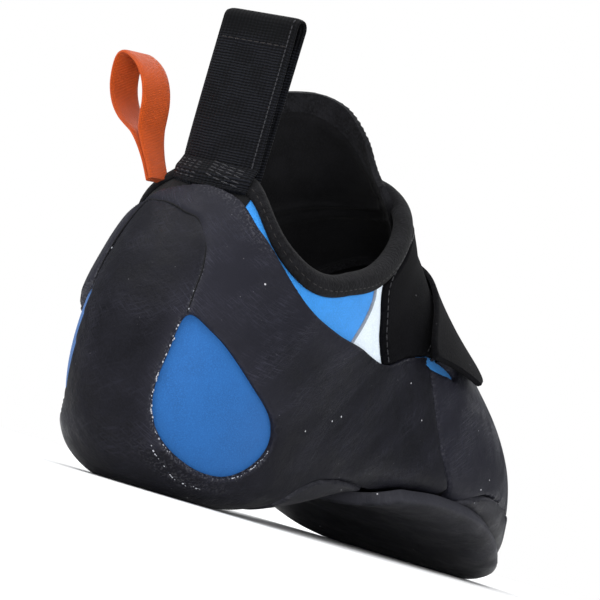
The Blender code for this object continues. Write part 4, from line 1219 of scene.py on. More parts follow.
class SHOE_OT_panels(bpy.types.Operator):
    """Side panels: thin blue and white cloth on the upper, between collar, rubber and strap"""
    bl_idname = "shoe.panels"
    bl_label = "Side panels"

    def execute(self, context):
        outlines = side_outlines()
        line = curve_through(PIPING, 60)
        rows, turns = row_steps(0.9, 8.6, 1.0), turn_steps(0.0, 0.42, 1.3)
        piping = on_sheet(line[:, 0], line[:, 1])
        far = on_sheet(np.array([7.5, 7.5, 3.5]), np.array([0.20, 0.45, 0.45]))
        front_region = np.vstack([piping, far])

        def uncovered(row, turn):
            """Cloth that rubber, strap and binding leave free, and a little more under each."""
            covered = np.maximum(seen_field(row, turn, outlines["heel"]) - UNDERLAP,
                                 seen_field(row, turn, outlines["strap"]) - UNDERLAP)
            held = np.minimum(below_rim(row, turn, BINDING_WIDTH - UNDERLAP), -covered)
            return np.minimum(held, (PANEL_LAST_ROW - row) * ROW_METRES)

        def ahead(row, turn):
            """Distance in front of the piping, alike on both sides."""
            return outline_field(on_sheet(row, np.abs(turn)), front_region)

        def blue(row, turn):
            """Free cloth behind the piping."""
            return np.minimum(uncovered(row, turn), -ahead(row, turn) - PANEL_GAP)

        def white(row, turn):
            """Free cloth in front of the piping."""
            return np.minimum(uncovered(row, turn), ahead(row, turn) - PANEL_GAP)

        def facing(row, turn):
            """Dark strip below the binding at the back, between two rows and two turns."""
            held = np.minimum(row - FACING_ROWS[0], FACING_ROWS[1] - row) * FACING_ROW_METRES
            held = np.minimum(held, below_rim(row, turn, BINDING_WIDTH - UNDERLAP))
            covered = seen_field(row, turn, outlines["heel"]) - UNDERLAP
            return np.minimum(np.minimum(held, -covered),
                              np.minimum(FACING_TURNS[1] - turn, turn - FACING_TURNS[0])
                              * TURN_METRES)

        layer("collar_facing", row_steps(0.8, 3.4), turn_steps(-0.16, 0.09), facing,
              *FACING_LEVELS, finish("lining_cloth"), None, "collar_cloth", edge=0.0006,
              blunt=0.4)
        for side, sign in (("outer", 1), ("inner", -1)):
            turned = turns[::sign] * sign
            for tone, region, cloth in (("blue", blue, "panel_cloth"),
                                        ("white", white, "white_cloth")):
                layer(f"{tone}_panel_{side}", rows, turned, region, *PANEL_LEVELS,
                      finish(cloth), None, "upper_cloth", edge=0.0006, blunt=0.3)
            if side == "outer":
                layer("blue_lens", row_steps(7.9, 9.5), turn_steps(0.31, 0.37, 1.6),
                      lambda row, turn: sliver(row, turn) + SLIVER_UNDERLAP, *PANEL_LEVELS,
                      finish("panel_cloth"), None, "upper_cloth", edge=0.0006, blunt=0.3)
            path = off_form(line[:, 0], line[:, 1] * sign, np.full(len(line), PIPING_LEVEL))
            tube(f"piping_{side}", path, PIPING_RADIUS, finish("piping_cord"),
                 slot="upper_cloth")
        return {"FINISHED"}


class SHOE_OT_rands(bpy.types.Operator):
    """Rubber: heel rand with its windows, toe patch and sole rand, parted along seam and crease"""
    bl_idname = "shoe.rands"
    bl_label = "Rubber rands"

    def execute(self, context):
        outlines = side_outlines()
        add_heel_rand(outlines["heel"])
        add_toe_patch(outlines["toe"])
        add_sole_rand(outlines["rand"])
        return {"FINISHED"}


def add_heel_rand(outline):
    """Heel rand: rubber with a step and a groove along the heel seam, a thin dark line of painted
    shade in the groove, and dried glue on it.
    """
    seam = curve_through(HEEL_SEAM, 80)
    seam_map = on_sheet(seam[:, 0], seam[:, 1])
    cup = np.vstack([seam_map, on_sheet(HEEL_CUP_FOOT[:, 0], HEEL_CUP_FOOT[:, 1])])
    drop = window_curve()
    window_map = on_sheet(drop[:, 0], drop[:, 1])
    apex, tail = on_sheet(*WINDOW[0]), on_sheet(*WINDOW[5])

    def below_window(at):
        """Metres below the line from the window's apex to its lower right end."""
        run = (tail - apex) / np.linalg.norm(tail - apex)
        return (at[..., 0] - apex[0]) * run[1] - (at[..., 1] - apex[1]) * run[0]

    def beyond_cup(at):
        """1 on the rubber that overlaps the heel cup, 0 on the cup, even across the seam."""
        return np.clip(0.5 - outline_field(at, cup) / SEAM_BLEND, 0, 1)

    def heel(row, turn):
        """Inside the outline and below the binding, but in no window and not in the sliver."""
        open_cloth = np.maximum(window_near(row, turn), sliver(row, turn))
        return np.minimum(np.minimum(seen_field(row, turn, outline), -open_cloth),
                          below_rim(row, turn, BINDING_WIDTH + CLEARANCE))

    def relief(row, turn, depth):
        """Step beyond the seam, groove along it and slow waves that fade out to the border."""
        at = on_sheet(row, turn)
        away = line_distance(at, seam_map)
        step = SEAM_STEP * beyond_cup(at) * bell(away, SEAM_STEP_REACH)
        groove = -GROOVE_DEPTH * bell(away, GROOVE_WIDTH)
        waves = WAVE_HEIGHT * np.sin(turn * 57 + row * 1.3) * np.sin(row * 2.1 - turn * 19)
        return step + groove + waves * np.clip(depth / 0.006, 0, 1)

    def glue(row, turn, depth):
        """Pale glue: along the lower seam, on the window's lower rim, below it and at the top."""
        at = on_sheet(row, turn)
        lower_seam = bell(line_distance(at, seam_map), 0.0004) * np.clip((row - 2.6) / 0.3, 0, 1)
        below = np.clip(below_window(at) / 0.004, 0, 1)
        rim = bell(depth, 0.0004) * (window_near(row, turn) > -0.006) * below * 0.35
        smear = bell(outline_field(at, window_map) + 0.004, 0.0028)
        smear = smear * np.clip((row - 5.3) / 0.4, 0, 1)
        smear = smear * np.clip((0.115 - turn) / 0.03, 0, 0.12)
        top = bell(depth, 0.0030) * (row < 2.6) * np.clip((turn + 0.02) / 0.02, 0, 1)
        return np.clip(lower_seam * 0.35 + rim + smear + top * 0.17, 0, 1)

    def worn(row, turn, depth):
        """Paler rubber beyond the seam and along the upper border of the outer side."""
        at = on_sheet(row, turn)
        upper = bell(depth, 0.009) * (row < 5.5) * np.clip((turn - 0.02) / 0.02, 0, 1)
        return np.maximum(beyond_cup(at) * bell(line_distance(at, seam_map), 0.030), 0.9 * upper)

    layer("heel_rand_rubber", row_steps(1.5, 10.4), turn_steps(-0.37, 0.37), heel,
          over_webbing, RUBBER_THICKNESS, finish("rand_rubber"), "heel_rand", "rand_rubber",
          relief=relief, layers={"glue": glue, "worn": worn}, edge=0.0006, blunt=0.62)
    # Painted shade: a thin tube of black cloth half sunk along the seam, standing in for the groove's
    # shadow
    groove_floor = over_webbing(seam[:, 0], seam[:, 1]) + RUBBER_THICKNESS - SEAM_SHADE_LINE_SINK
    tube("heel_seam_painted_shade", off_form(seam[:, 0], seam[:, 1], groove_floor), SEAM_SHADE_LINE_RADIUS,
         finish("lining_cloth"), slot="rand_rubber")
    add_glue_beads(drop, seam, relief)


def add_glue_beads(drop, seam, relief):
    """Lumps of dried glue at uneven places beside two stretches of the window, one line below
    it and the end of the seam."""
    draw = np.random.default_rng(11)
    # Line, share of the rubber's thickness, depth inside its border, share of places kept
    lines = (
        (drop[50:68], 0.62, 0.0, 0.62),
        (drop[84:118], 0.62, 0.0, 0.62),
        (curve_through(GLUE_LINE, 24), 0.97, 0.01, 0.42),
        (seam[seam[:, 0] > 2.9][-18:], 1.0, 0.01, 0.55),
    )
    placed = []
    for line, share, depth, density in lines:
        row, turn = line[:, 0], line[:, 1]
        height = (CLEARANCE + RUBBER_THICKNESS * share
                  + relief(row, turn, np.full(len(line), depth)))
        centres, along, normals = along_form(row, turn, height, LUMP_PITCH)
        aside = np.cross(along, normals) * draw.normal(0, LUMP_STRAY, (len(centres), 1))
        kept = draw.random(len(centres)) < density
        placed.append([part[kept] for part in (centres + aside, along, normals)])
    centres, along, normals = (np.concatenate(parts) for parts in zip(*placed))
    stitches("glue_beads", centres, along, normals, LUMP_LENGTH, LUMP_RADIUS,
             finish("dried_glue"), scale=draw.uniform(0.5, 1.5, len(centres)),
             slot="rand_rubber")


def pale_rim(row, turn, depth):
    """A little glue along the border of a rubber piece."""
    return bell(depth, 0.0006) * 0.15


def add_toe_patch(outline):
    """Toe patch: rubber over toes and forefoot, open at the blue sliver."""
    layer("toe_patch_rubber", row_steps(7.6, LAST_ROW + 1), turn_steps(0.06, 0.94),
          lambda row, turn: np.minimum(seen_field(row, turn, outline), -sliver(row, turn)),
          CLEARANCE, CLEARANCE + RUBBER_THICKNESS, finish("rand_rubber"), "toe_patch",
          "rand_rubber",
          layers={"glue": pale_rim, "worn": lambda row, turn, depth: np.full(row.shape, 0.9)})


def add_sole_rand(outline):
    """Sole rand: rubber below the flank's crease and under the foot, in the paler rubber that paints
    light on this down-facing band.
    """
    layer("sole_rand_rubber", row_steps(6.2, LAST_ROW + 1, 0.8), turn_steps(-0.5, 0.5, 0.9),
          lambda row, turn: seen_field(row, turn, outline), CLEARANCE,
          CLEARANCE + SOLE_RAND_THICKNESS, finish("sole_rubber"), "sole_rand", "rand_rubber",
          layers={"glue": pale_rim})


def sliver(row, turn):
    """The lens of blue cloth that shows beside the strap's free end, positive inside it."""
    start, end = on_sheet(SLIVER[:, 0], SLIVER[:, 1])
    half = (end - start) / 2
    away = on_sheet(row, turn) - (start + end) / 2
    length = np.linalg.norm(half)
    along = (away @ half) / length ** 2
    across = (away[..., 0] * half[1] - away[..., 1] * half[0]) / length * 2 / SLIVER_WIDTH
    return (1 - along ** 2 - across ** 2) * SLIVER_WIDTH / 4


def over_webbing(row, turn):
    """Distance of the heel rubber's inner face from the form: raised where the webbing's foot is."""
    below = below_rim(row, turn, 0.0)
    away = np.abs(form(row, turn)[..., 0] - WEBBING_SHIFT) - WEBBING_WIDTH / 2
    across = np.clip(1 - away / 0.0055, 0, 1) * (np.abs(turn) < 0.2)
    # Metres below the rim, and how far the rubber is raised there
    down = np.interp(below, [0.0058, 0.0070, 0.0090, 0.0120], [0.0026, 0.0018, 0.0008, 0.0])
    return CLEARANCE + eased(across) * down


def window_near(row, turn):
    """The larger of both windows' fields."""
    return np.maximum(window_field(row, turn), window_field(row, turn, True))


class SHOE_OT_outsole(bpy.types.Operator):
    """Outsole: a thick plate under the forefoot with a ground edge"""
    bl_idname = "shoe.outsole"
    bl_label = "Outsole"

    def execute(self, context):
        plan = plan_outline()

        def plate(row, turn):
            """Inside the outline seen from above, on the lower side of the form."""
            points = off_form(row, turn, np.full(np.shape(row), SOLE_RAND_THICKNESS))
            inside = outline_field(points[..., :2], plan)
            return np.minimum(inside, (0.235 - np.abs(turn)) * TURN_METRES)

        low = 2 * CLEARANCE + SOLE_RAND_THICKNESS
        # The plate takes the paler rubber too: painted light on its down-facing sides
        layer("outsole_plate", row_steps(8.2, LAST_ROW + 1), turn_steps(-0.26, 0.26, 1.2), plate,
              low, low + OUTSOLE_THICKNESS, finish("sole_rubber"), "outsole",
              "sole_rubber", edge=0.0014, blunt=0.68,
              layers={"glue": lambda row, turn, depth: np.zeros(row.shape)})
        return {"FINISHED"}


def plan_outline():
    """The form's widest line from above, inset, closed by a bowed rear edge at the arch."""
    rows = np.concatenate([
        np.linspace(OUTSOLE_REAR_ROW, LAST_ROW, 40),
        LAST_ROW + cap_shares(24) * TIP_HOLD,
    ])
    outset = SOLE_RAND_THICKNESS - OUTSOLE_INSET
    sides = []
    for turn in (0.25, 0.75):
        outward = form_normals(rows, np.full(rows.shape, turn)) * (1.0, 1.0, 0.0)
        sides.append((form(rows, np.full(rows.shape, turn)) + outward * outset)[:, :2])
    outer, inner = sides
    centre, reach = toe_tip()
    tip = (centre + reach)[:2] + (0.0, outset)
    bow = np.linspace(0, math.pi, 17)[1:-1]
    middle = (outer[0] + inner[0]) / 2
    half = (inner[0] - outer[0]) / 2
    rear = (middle - half * np.cos(bow)[:, None] * 0.98
            - np.stack([np.zeros(len(bow)), REAR_BOW * np.sin(bow)], -1))
    return np.vstack([outer, [tip], inner[::-1], rear[::-1]])


class SHOE_OT_binding(bpy.types.Operator):
    """Collar binding: a soft band folded over the rim, with its row of stitches"""
    bl_idname = "shoe.binding"
    bl_label = "Collar binding"

    def execute(self, context):
        turn = np.linspace(0, 1, 420, endpoint=False)
        rim, pitch = rim_row(turn), row_pitch(turn)
        # Middle line of the band's section: metres below the rim, metres off the form
        middle = np.array([
            (0.00545, 0.00075), (0.0046, 0.0012), (0.0030, 0.00135), (0.0014, 0.00125),
            (0.0002, 0.0007), (-0.0006, -0.0003), (-0.0006, -0.0016), (0.0001, -0.0026),
            (0.0014, -0.0031), (0.0030, -0.0031), (0.0044, -0.0028), (0.0056, -0.0025),
        ])
        steps = 30
        centre = curve_through(middle, steps)
        outside = shifted(centre, -1.0) - centre
        half = 0.00055 * np.sqrt(np.clip(1 - np.linspace(-1, 1, steps) ** 8, 0.03, 1))
        puff = 1 + 0.35 * bell(np.linspace(0, 1, steps) - 0.22, 0.12)
        upper_side = centre + outside * (half * puff)[:, None]
        lower_side = centre - outside * half[:, None]
        section = np.vstack([upper_side, lower_side[::-1]])
        rows = rim[:, None] + section[None, :, 0] / pitch[:, None]
        turns = np.broadcast_to(turn[:, None], rows.shape)
        heights = np.broadcast_to(section[None, :, 1], rows.shape)
        points = off_form(rows, turns, heights)
        number = np.arange(points[..., 0].size).reshape(rows.shape)
        after = np.roll(number, -1, axis=0)
        faces = np.stack([number, np.roll(number, -1, axis=1), np.roll(after, -1, axis=1), after],
                         -1).reshape(-1, 4)
        add_piece("collar_binding_cloth", points.reshape(-1, 3), [facing_out(points, faces)],
                  finish("binding_cloth"), "collar_binding", "collar_cloth", crease=0)
        run = np.linspace(0, 1, 900)
        centres, along, normals = along_form(
            rim_row(run) + BINDING_STITCH_DROP / row_pitch(run), run, BINDING_STITCH_LEVEL,
            look().stitch_length * 1.5)
        stitches("collar_stitches", centres, along, normals, look().stitch_length,
                 look().stitch_radius, finish("stitch_thread"), slot="collar_cloth")
        return {"FINISHED"}


def facing_out(points, faces):
    """Faces of a ring-shaped band, turned so that the sum of their volumes is positive."""
    flat = points.reshape(-1, 3)
    corners = flat[faces]
    centre = flat.mean(0)
    first = corners[:, 1] - corners[:, 0]
    second = corners[:, 2] - corners[:, 0]
    volume = np.einsum("ij,ij->i", corners.mean(1) - centre, np.cross(first, second)).sum()
    return faces if volume > 0 else faces[:, ::-1]


class SHOE_OT_tongue(bpy.types.Operator):
    """Tongue and insole: a folded lining lobe above the rim, and the board inside"""
    bl_idname = "shoe.tongue"
    bl_label = "Tongue and insole"

    def execute(self, context):
        low, high = TONGUE_TOP[0, 0], TONGUE_TOP[-1, 0]
        face = -(UPPER_WALL + 2 * CLEARANCE)
        rows, turns = row_steps(0.0, 7.6, 0.8), turn_steps(low, high, 0.9)

        def lobe(row, turn):
            """Below the upper edge, above the foot and between the two sides."""
            at = np.interp(turn, TONGUE_TOP[:, 0], np.arange(len(TONGUE_TOP)))
            top = smooth_rows(TONGUE_TOP, at)[..., 1]
            side = np.minimum(turn - low, high - turn) * TONGUE_TURN_METRES
            return np.minimum(np.minimum((row - top) * TONGUE_TOP_ROW_METRES, side),
                              (TONGUE_FOOT_ROW - row) * TONGUE_FOOT_ROW_METRES)

        def folds(row, turn, depth):
            """Slow waves of the outer face that fade out to the border, and the hem's seam."""
            wave = np.sin(turn * 44 + row * 0.8) * 0.0004 + np.sin(turn * 17 - row * 1.9) * 0.0006
            hem = -0.0005 * bell(depth - HEM_WIDTH, 0.0008)
            return wave * np.clip(depth / 0.010, 0, 1) + hem

        def foot_side(row, turn):
            """Inner face: two soft folds that run forward and down, and a ridge beside the hem."""
            depth = lobe(row, turn)
            upper = bell(row - 3.3 - (turn - 0.6) * 6, 0.24) * 0.0009
            lower = bell(row - 4.1 - (turn - 0.6) * 5, 0.26) * 0.0007
            ridge = bell(depth - 0.0052, 0.0010) * 0.0005
            fade = np.clip(depth / 0.008, 0, 1)
            return face - TONGUE_THICKNESS - (upper + lower) * fade - ridge

        layer("tongue_lobe", rows, turns, lobe, foot_side, TONGUE_THICKNESS,
              finish("lining_cloth"), "tongue", "collar_cloth", edge=0.0022, blunt=0.25,
              relief=folds)
        layer("tongue_hem", rows, turns,
              lambda row, turn: np.minimum(lobe(row, turn) + 0.0004, HEM_WIDTH - lobe(row, turn)),
              lambda row, turn: foot_side(row, turn) - HEM_RISE, HEM_THICKNESS,
              finish("hem_cloth"), None, "collar_cloth", edge=0.0010, blunt=0.5)

        def board(row, turn):
            """Between two rows and two turns under the foot."""
            return np.minimum((INSOLE_HALF_TURNS - np.abs(turn)) * INSOLE_TURN_METRES,
                              np.minimum((row - INSOLE_ROWS[0]) * INSOLE_ROW_METRES,
                                         (INSOLE_ROWS[1] - row) * INSOLE_ROW_METRES))

        layer("insole_board", row_steps(6.8, 15.8, 0.5), turn_steps(-0.12, 0.12, 0.5), board,
              *INSOLE_LEVELS, finish("insole_board"), "insole", "insole_board")
        return {"FINISHED"}


class SHOE_OT_strap(bpy.types.Operator):
    """Instep strap and its free end, with edge stitches"""
    bl_idname = "shoe.strap"
    bl_label = "Strap"

    def execute(self, context):
        outlines = side_outlines()

        def band(row, turn):
            """Inside the outline, clear of the binding and above the sides of the foot."""
            side = seen_field(row, turn, outlines["strap"])
            clear = below_rim(row, turn, BINDING_WIDTH + CLEARANCE)
            return np.minimum(np.minimum(side, clear), (np.abs(turn) - 0.2) * TURN_METRES)

        layer("strap_band", row_steps(2.0, 11.2), turn_steps(0.18, 0.82, 1.0), band, CLEARANCE,
              CLEARANCE + STRAP_THICKNESS, finish("strap_cloth"), "strap",
              "strap_cloth", edge=0.0009, blunt=0.5)
        for edge_name, table in (("rear", STRAP_REAR_EDGE), ("front", STRAP_FRONT_EDGE)):
            rows, turns = side_places(shifted(edge_curve(table), -STRAP_STITCH_INSET))
            for side, sign in (("outer", 1), ("inner", -1)):
                centres, along, normals = along_form(
                    rows, turns * sign, CLEARANCE + STRAP_THICKNESS, STRAP_STITCH_PITCH)
                stitches(f"strap_{edge_name}_stitches_{side}", centres, along, normals,
                         look().stitch_length, look().stitch_radius,
                         finish("bar_thread"), slot="strap_cloth")

        centre = ((TAB_ROWS[0] + TAB_ROWS[1]) / 2, (TAB_TURNS[0] + TAB_TURNS[1]) / 2)
        half = ((TAB_ROWS[1] - TAB_ROWS[0]) / 2, (TAB_TURNS[1] - TAB_TURNS[0]) / 2)

        def tab(row, turn):
            """A rounded oblong, worked out in rows and given in metres."""
            over_row = np.abs(row - centre[0]) - half[0] + TAB_ROUNDING
            over_turn = (np.abs(turn - centre[1]) * TAB_ROWS_PER_TURN
                         - half[1] * TAB_ROWS_PER_TURN + TAB_ROUNDING)
            outside = np.sqrt(np.maximum(over_row, 0) ** 2 + np.maximum(over_turn, 0) ** 2)
            inside = np.minimum(np.maximum(over_row, over_turn), 0.0)
            return (TAB_ROUNDING - outside - inside) * TAB_ROW_METRES

        def lifted(row, turn):
            """Inner face: over the strap, and rising as a cube towards the free outer end."""
            free = np.clip(1 - (turn - TAB_TURNS[0]) / (TAB_TURNS[1] - TAB_TURNS[0]) * 2, 0, 1)
            return STRAP_THICKNESS + 3 * CLEARANCE + TAB_LIFT * free ** 3

        layer("strap_tab_cloth", row_steps(TAB_ROWS[0] - 0.1, TAB_ROWS[1] + 0.1),
              turn_steps(TAB_TURNS[0] - 0.01, TAB_TURNS[1] + 0.01, 1.2), tab, lifted,
              STRAP_THICKNESS, finish("tab_cloth"), "strap_tab", "strap_cloth",
              edge=0.0009, blunt=0.5)
        return {"FINISHED"}


class SHOE_OT_pull_loop(bpy.types.Operator):
    """Webbing pull loop over the back of the collar, with its sewn foot"""
    bl_idname = "shoe.pull_loop"
    bl_label = "Pull loop"

    def execute(self, context):
        face, outward, across = webbing_path()
        thickness = WEBBING_THICKNESS
        side = np.abs(across / across.max())
        thin = (1 - 0.75 * side ** 14)[None, :, None]
        centre = face + outward * thickness / 2
        front = centre + outward * thickness / 2 * thin
        back = centre - outward * thickness / 2 * thin
        middle = face[:, len(across) // 2]
        run = np.cumsum(np.linalg.norm(np.diff(middle, axis=0, prepend=middle[:1]), axis=1))
        uv = np.stack(np.broadcast_arrays(run[:, None], across[None, :]), -1)
        fold = run[int(np.argmax(middle[:, 2]))]
        plain = np.exp(-((run - fold) / FOLD_HEM) ** 4)
        sheet_solid("pull_loop_webbing", front, back, finish("loop_webbing"), uv,
                    {"plain": np.repeat(plain, len(across))}, node="pull_loop",
                    slot="loop_webbing", crease=50)

        def sewn(name, start, end, pitch, length, thread="bar_thread"):
            """A straight row of stitches between two places, each metres along and across."""
            count = max(int(math.dist(start, end) / pitch), 1)
            share = (np.arange(count) + 0.5) / count
            at = np.array(start) + (np.array(end) - start) * share[:, None]
            heading = (np.array(end) - start) / math.dist(start, end)
            at = np.concatenate([at, at + heading * 0.0004])
            spot = (np.interp(at[:, 0], run, np.arange(len(run))),
                    np.interp(at[:, 1], across, np.arange(len(across))))
            points, normals = on_grid(front, *spot), on_grid(outward, *spot)[:count]
            along = points[count:] - points[:count]
            along /= np.linalg.norm(along, axis=1, keepdims=True)
            stitches(name, points[:count], along, normals, length, look().stitch_radius,
                     finish(thread), slot="loop_webbing")

        half = WEBBING_WIDTH / 2
        block_rows = np.linspace(BLOCK_FIRST_ROW, BLOCK_LAST_ROW, BLOCK_ROWS)
        for number, run_at in enumerate(block_rows):
            sewn(f"foot_stitches_{number}", (run_at, -half + BLOCK_STITCHES[0]),
                 (run_at, -half + BLOCK_STITCHES[1]), pitch=0.0016, length=0.0013)
            sewn(f"foot_bars_{number}", (run_at + BLOCK_BAR_SLANT[0], -half + BLOCK_BARS[0]),
                 (run_at + BLOCK_BAR_SLANT[1], half - BLOCK_BARS[1]), pitch=0.0024, length=0.0022)
        edge_at = half - SELVEDGE_INSET
        sewn("selvedge_stitches", (SELVEDGE_START, edge_at), (fold - 0.0010, edge_at),
             pitch=0.0013, length=0.0011)
        sewn("fold_stitches", (fold - FOLD_HEM, -half + 0.0015), (fold - FOLD_HEM, half - 0.0015),
             pitch=0.0020, length=0.0016, thread="stitch_thread")
        return {"FINISHED"}


def on_grid(grid, row, column):
    """Values of a grid at fractional places, each the mean of four corners by their shares."""
    low_row = np.clip(row.astype(int), 0, grid.shape[0] - 2)
    low_column = np.clip(column.astype(int), 0, grid.shape[1] - 2)
    down, right = (row - low_row)[:, None], (column - low_column)[:, None]
    upper = grid[low_row, low_column] * (1 - right) + grid[low_row, low_column + 1] * right
    lower = grid[low_row + 1, low_column] * (1 - right) + grid[low_row + 1, low_column + 1] * right
    return upper * (1 - down) + lower * down


def webbing_path():
    """Grid of the webbing's inner face: outer leg, fold above the rim, inner leg, and its normals."""
    rim = RIM[0, 1]
    across = np.linspace(-0.5, 0.5, 31) * WEBBING_WIDTH + WEBBING_SHIFT
    search = np.linspace(-0.2, 0.2, 401)
    turns = np.interp(across, form(rim, search)[:, 0], search)
    inside = -(UPPER_WALL + 3 * CLEARANCE)
    pitch = float(np.linalg.norm(form(rim + 0.01, 0.0) - form(rim, 0.0))) / 0.01
    foot = rim + WEBBING_FOOT / pitch
    top_z = float(form(rim, 0.0)[2]) + WEBBING_RISE
    hem = rim - 4 * CLEARANCE / pitch

    def leg(face):
        """One leg from the foot to the rim, at the distances that face gives for each height."""
        shares = np.linspace(0, 1, 17)
        rows = np.broadcast_to((foot + (hem - foot) * shares)[:, None], (17, len(turns)))
        away = np.broadcast_to(face(WEBBING_FOOT * (1 - shares))[:, None], rows.shape)
        return off_form(rows, np.broadcast_to(turns, rows.shape), away)

    def tucked(down):
        """Over the binding at first, then in under the rubber's upper edge."""
        share = np.clip((down - 0.0040) / 0.0028, 0, 1)
        return 0.0023 - 0.0018 * eased(share)

    out, into = leg(tucked), leg(lambda down: np.full(down.shape, inside))
    middle = (out[-1, 15, 1] + into[-1, 15, 1]) / 2
    fold = WEBBING_THICKNESS * WEBBING_FOLD
    levels = np.linspace(0, 1, 34)[1:, None, None]

    def rise(start, y):
        """From the rim straight up to the bend, flattening on the way."""
        flat = np.stack([across, np.full(across.shape, y), np.zeros(across.shape)], -1)
        ease = levels ** WEBBING_EASE
        points = start * (1 - ease) + flat * ease
        height = start[:, 2] * (1 - levels[..., 0]) + (top_z - fold) * levels[..., 0]
        points[..., 2] = height
        return points

    up, down = rise(out[-1], middle - fold), rise(into[-1], middle + fold)
    angle = np.linspace(0, math.pi, 11)[1:-1, None]
    bend = np.stack(np.broadcast_arrays(across[None, :], middle - fold * np.cos(angle),
                                        top_z - fold + fold * np.sin(angle)), -1)
    face = np.concatenate([out, up, bend, down[::-1], into[::-1]])
    lengthwise = np.gradient(face, axis=0)
    sideways = np.gradient(face, axis=1)
    outward = np.cross(sideways, lengthwise)
    outward /= np.linalg.norm(outward, axis=-1, keepdims=True)
    return face, outward, across - WEBBING_SHIFT


class SHOE_OT_side_loop(bpy.types.Operator):
    """Orange ribbon bent into a drop over the inner side of the heel"""
    bl_idname = "shoe.side_loop"
    bl_label = "Side loop"

    def execute(self, context):
        root, sideways, upward, wide = ribbon_frame()
        half = RIBBON_THICKNESS / 2
        leg = curve_through(RIBBON_LEG, 90)
        reach = half * 1.05 + leg[:, 1] * (RIBBON_LOOP_WIDTH / 2 - half * 2.05)
        reach[-1] = 0.0
        height = leg[:, 0] * (RIBBON_LOOP_LENGTH - half)
        side = np.concatenate([reach, -reach[-2::-1]])
        height = np.concatenate([height, height[-2::-1]])
        path = root + sideways * side[:, None] + upward * height[:, None]
        along = np.gradient(path, axis=0)
        along /= np.linalg.norm(along, axis=1, keepdims=True)
        out = np.cross(along, wide)
        columns = np.linspace(-0.5, 0.5, 13)
        thin = 1 - 0.6 * np.abs(2 * columns) ** 10
        share = np.clip(height / RIBBON_LOOP_LENGTH / 0.45, 0, 1)
        width = RIBBON_FOOT_WIDTH + (RIBBON_SPREAD - RIBBON_FOOT_WIDTH) * eased(share)
        grid = path[:, None, :] + wide * (columns[None, :] * width[:, None])[..., None]
        front = grid + out[:, None, :] * (half * thin)[None, :, None]
        back = grid - out[:, None, :] * (half * thin)[None, :, None]
        run = np.cumsum(np.linalg.norm(np.diff(path, axis=0, prepend=path[:1]), axis=1))
        uv = np.stack(np.broadcast_arrays(run[:, None], (columns * RIBBON_SPREAD)[None, :]), -1)
        sheet_solid("side_loop_ribbon", front, back, finish("loop_ribbon"), uv,
                    node="side_loop", slot="loop_ribbon", crease=50)
        return {"FINISHED"}


def ribbon_frame():
    """Where the drop of the side loop stands, and its three directions."""
    at = (np.array(SIDE_LOOP_ROW), np.array(SIDE_LOOP_TURN))
    outward = form_normals(*at)
    sideways = np.array([math.cos(RIBBON_LEAN), 0.0, math.sin(RIBBON_LEAN)])
    stand = RIBBON_WIDTH / 2 * abs(outward[1]) + RIBBON_THICKNESS * abs(outward @ sideways)
    root = form(*at) + outward * (stand + BINDING_THICKNESS + CLEARANCE)
    upward = np.array([-math.sin(RIBBON_LEAN), 0.0, math.cos(RIBBON_LEAN)])
    wide = np.array([0.0, 1.0, 0.0])
    turned = sideways * math.cos(RIBBON_TURN) - wide * math.sin(RIBBON_TURN)
    return root, turned, upward, wide * math.cos(RIBBON_TURN) + sideways * math.sin(RIBBON_TURN)


class SHOE_OT_stage(bpy.types.Operator):
    """Studio: pale floor, four soft lights and an even sky, the photograph's camera"""
    bl_idname = "shoe.stage"
    bl_label = "Studio"

    def execute(self, context):
        add_floor(context)
        for light in LIGHTS:
            add_light(*light)
        sun = bpy.data.lights.new("even_light", "SUN")
        sun.angle = math.radians(70)
        sun.energy = 2.1
        overhead = bpy.data.objects.new("even_light", sun)
        overhead.matrix_world = look_at((-0.5, -0.7, 2.0), (0.0, 0.0, 0.0), 0.0)
        context.scene.collection.objects.link(overhead)
        add_air(context)
        context.scene.view_settings.view_transform = "Standard"
        add_camera(context)
        return {"FINISHED"}


def add_floor(context):
    """A flat round of pale paper under the shoe: rings whose radii grow by one factor."""
    radius = np.geomspace(0.4, 1.6, 16)
    angle = np.linspace(0, 2 * math.pi, 72, endpoint=False)
    points = np.stack(np.broadcast_arrays(
        radius[:, None] * np.cos(angle), radius[:, None] * np.sin(angle) + FLOOR_CENTRE_Y,
        -FLOOR_DROP), -1)
    number = np.arange(points[..., 0].size).reshape(points.shape[:2])
    after = np.roll(number, -1, axis=1)
    faces = np.stack([number[:-1], number[1:], after[1:], after[:-1]], -1).reshape(-1, 4)
    mesh = bpy.data.meshes.new("studio_floor")
    mesh.from_pydata(points.reshape(-1, 3).tolist(), [],
                     faces[:, ::-1].tolist() + [number[0][::-1].tolist()])
    mesh.shade_smooth()
    paper, tree, shader, where, _ = start_material("studio_paper")
    grain = group_node(tree, grain_effect(), Vector=where, Size=0.002, Blotch=0.4)
    tone = mixed(tree, grain["Blotches"], lighter(look().floor, 0.985), colour(look().floor))
    tree.links.new(tone, shader.inputs["Base Color"])
    shader.inputs["Roughness"].default_value = 0.85
    mesh.materials.append(paper)
    floor = bpy.data.objects.new("studio_floor", mesh)
    context.scene.collection.objects.link(floor)


def add_air(context):
    """Even light from all sides, over a white backdrop that only the camera sees as white."""
    world = bpy.data.worlds.new("studio_air")
    world.use_nodes = True
    tree = world.node_tree
    air = tree.nodes["Background"]
    air.inputs[0].default_value = (0.93, 0.96, 1.0, 1.0)
    air.inputs[1].default_value = 0.42
    seen = place(tree, "ShaderNodeBackground", {"Color": (1.0, 1.0, 1.0, 1.0), "Strength": 1.0})
    ray = place(tree, "ShaderNodeLightPath")
    both = place(tree, "ShaderNodeMixShader", {0: ray.outputs["Is Camera Ray"],
                                               1: air.outputs[0], 2: seen.outputs[0]})
    tree.links.new(both.outputs[0], tree.nodes["World Output"].inputs[0])
    context.scene.world = world


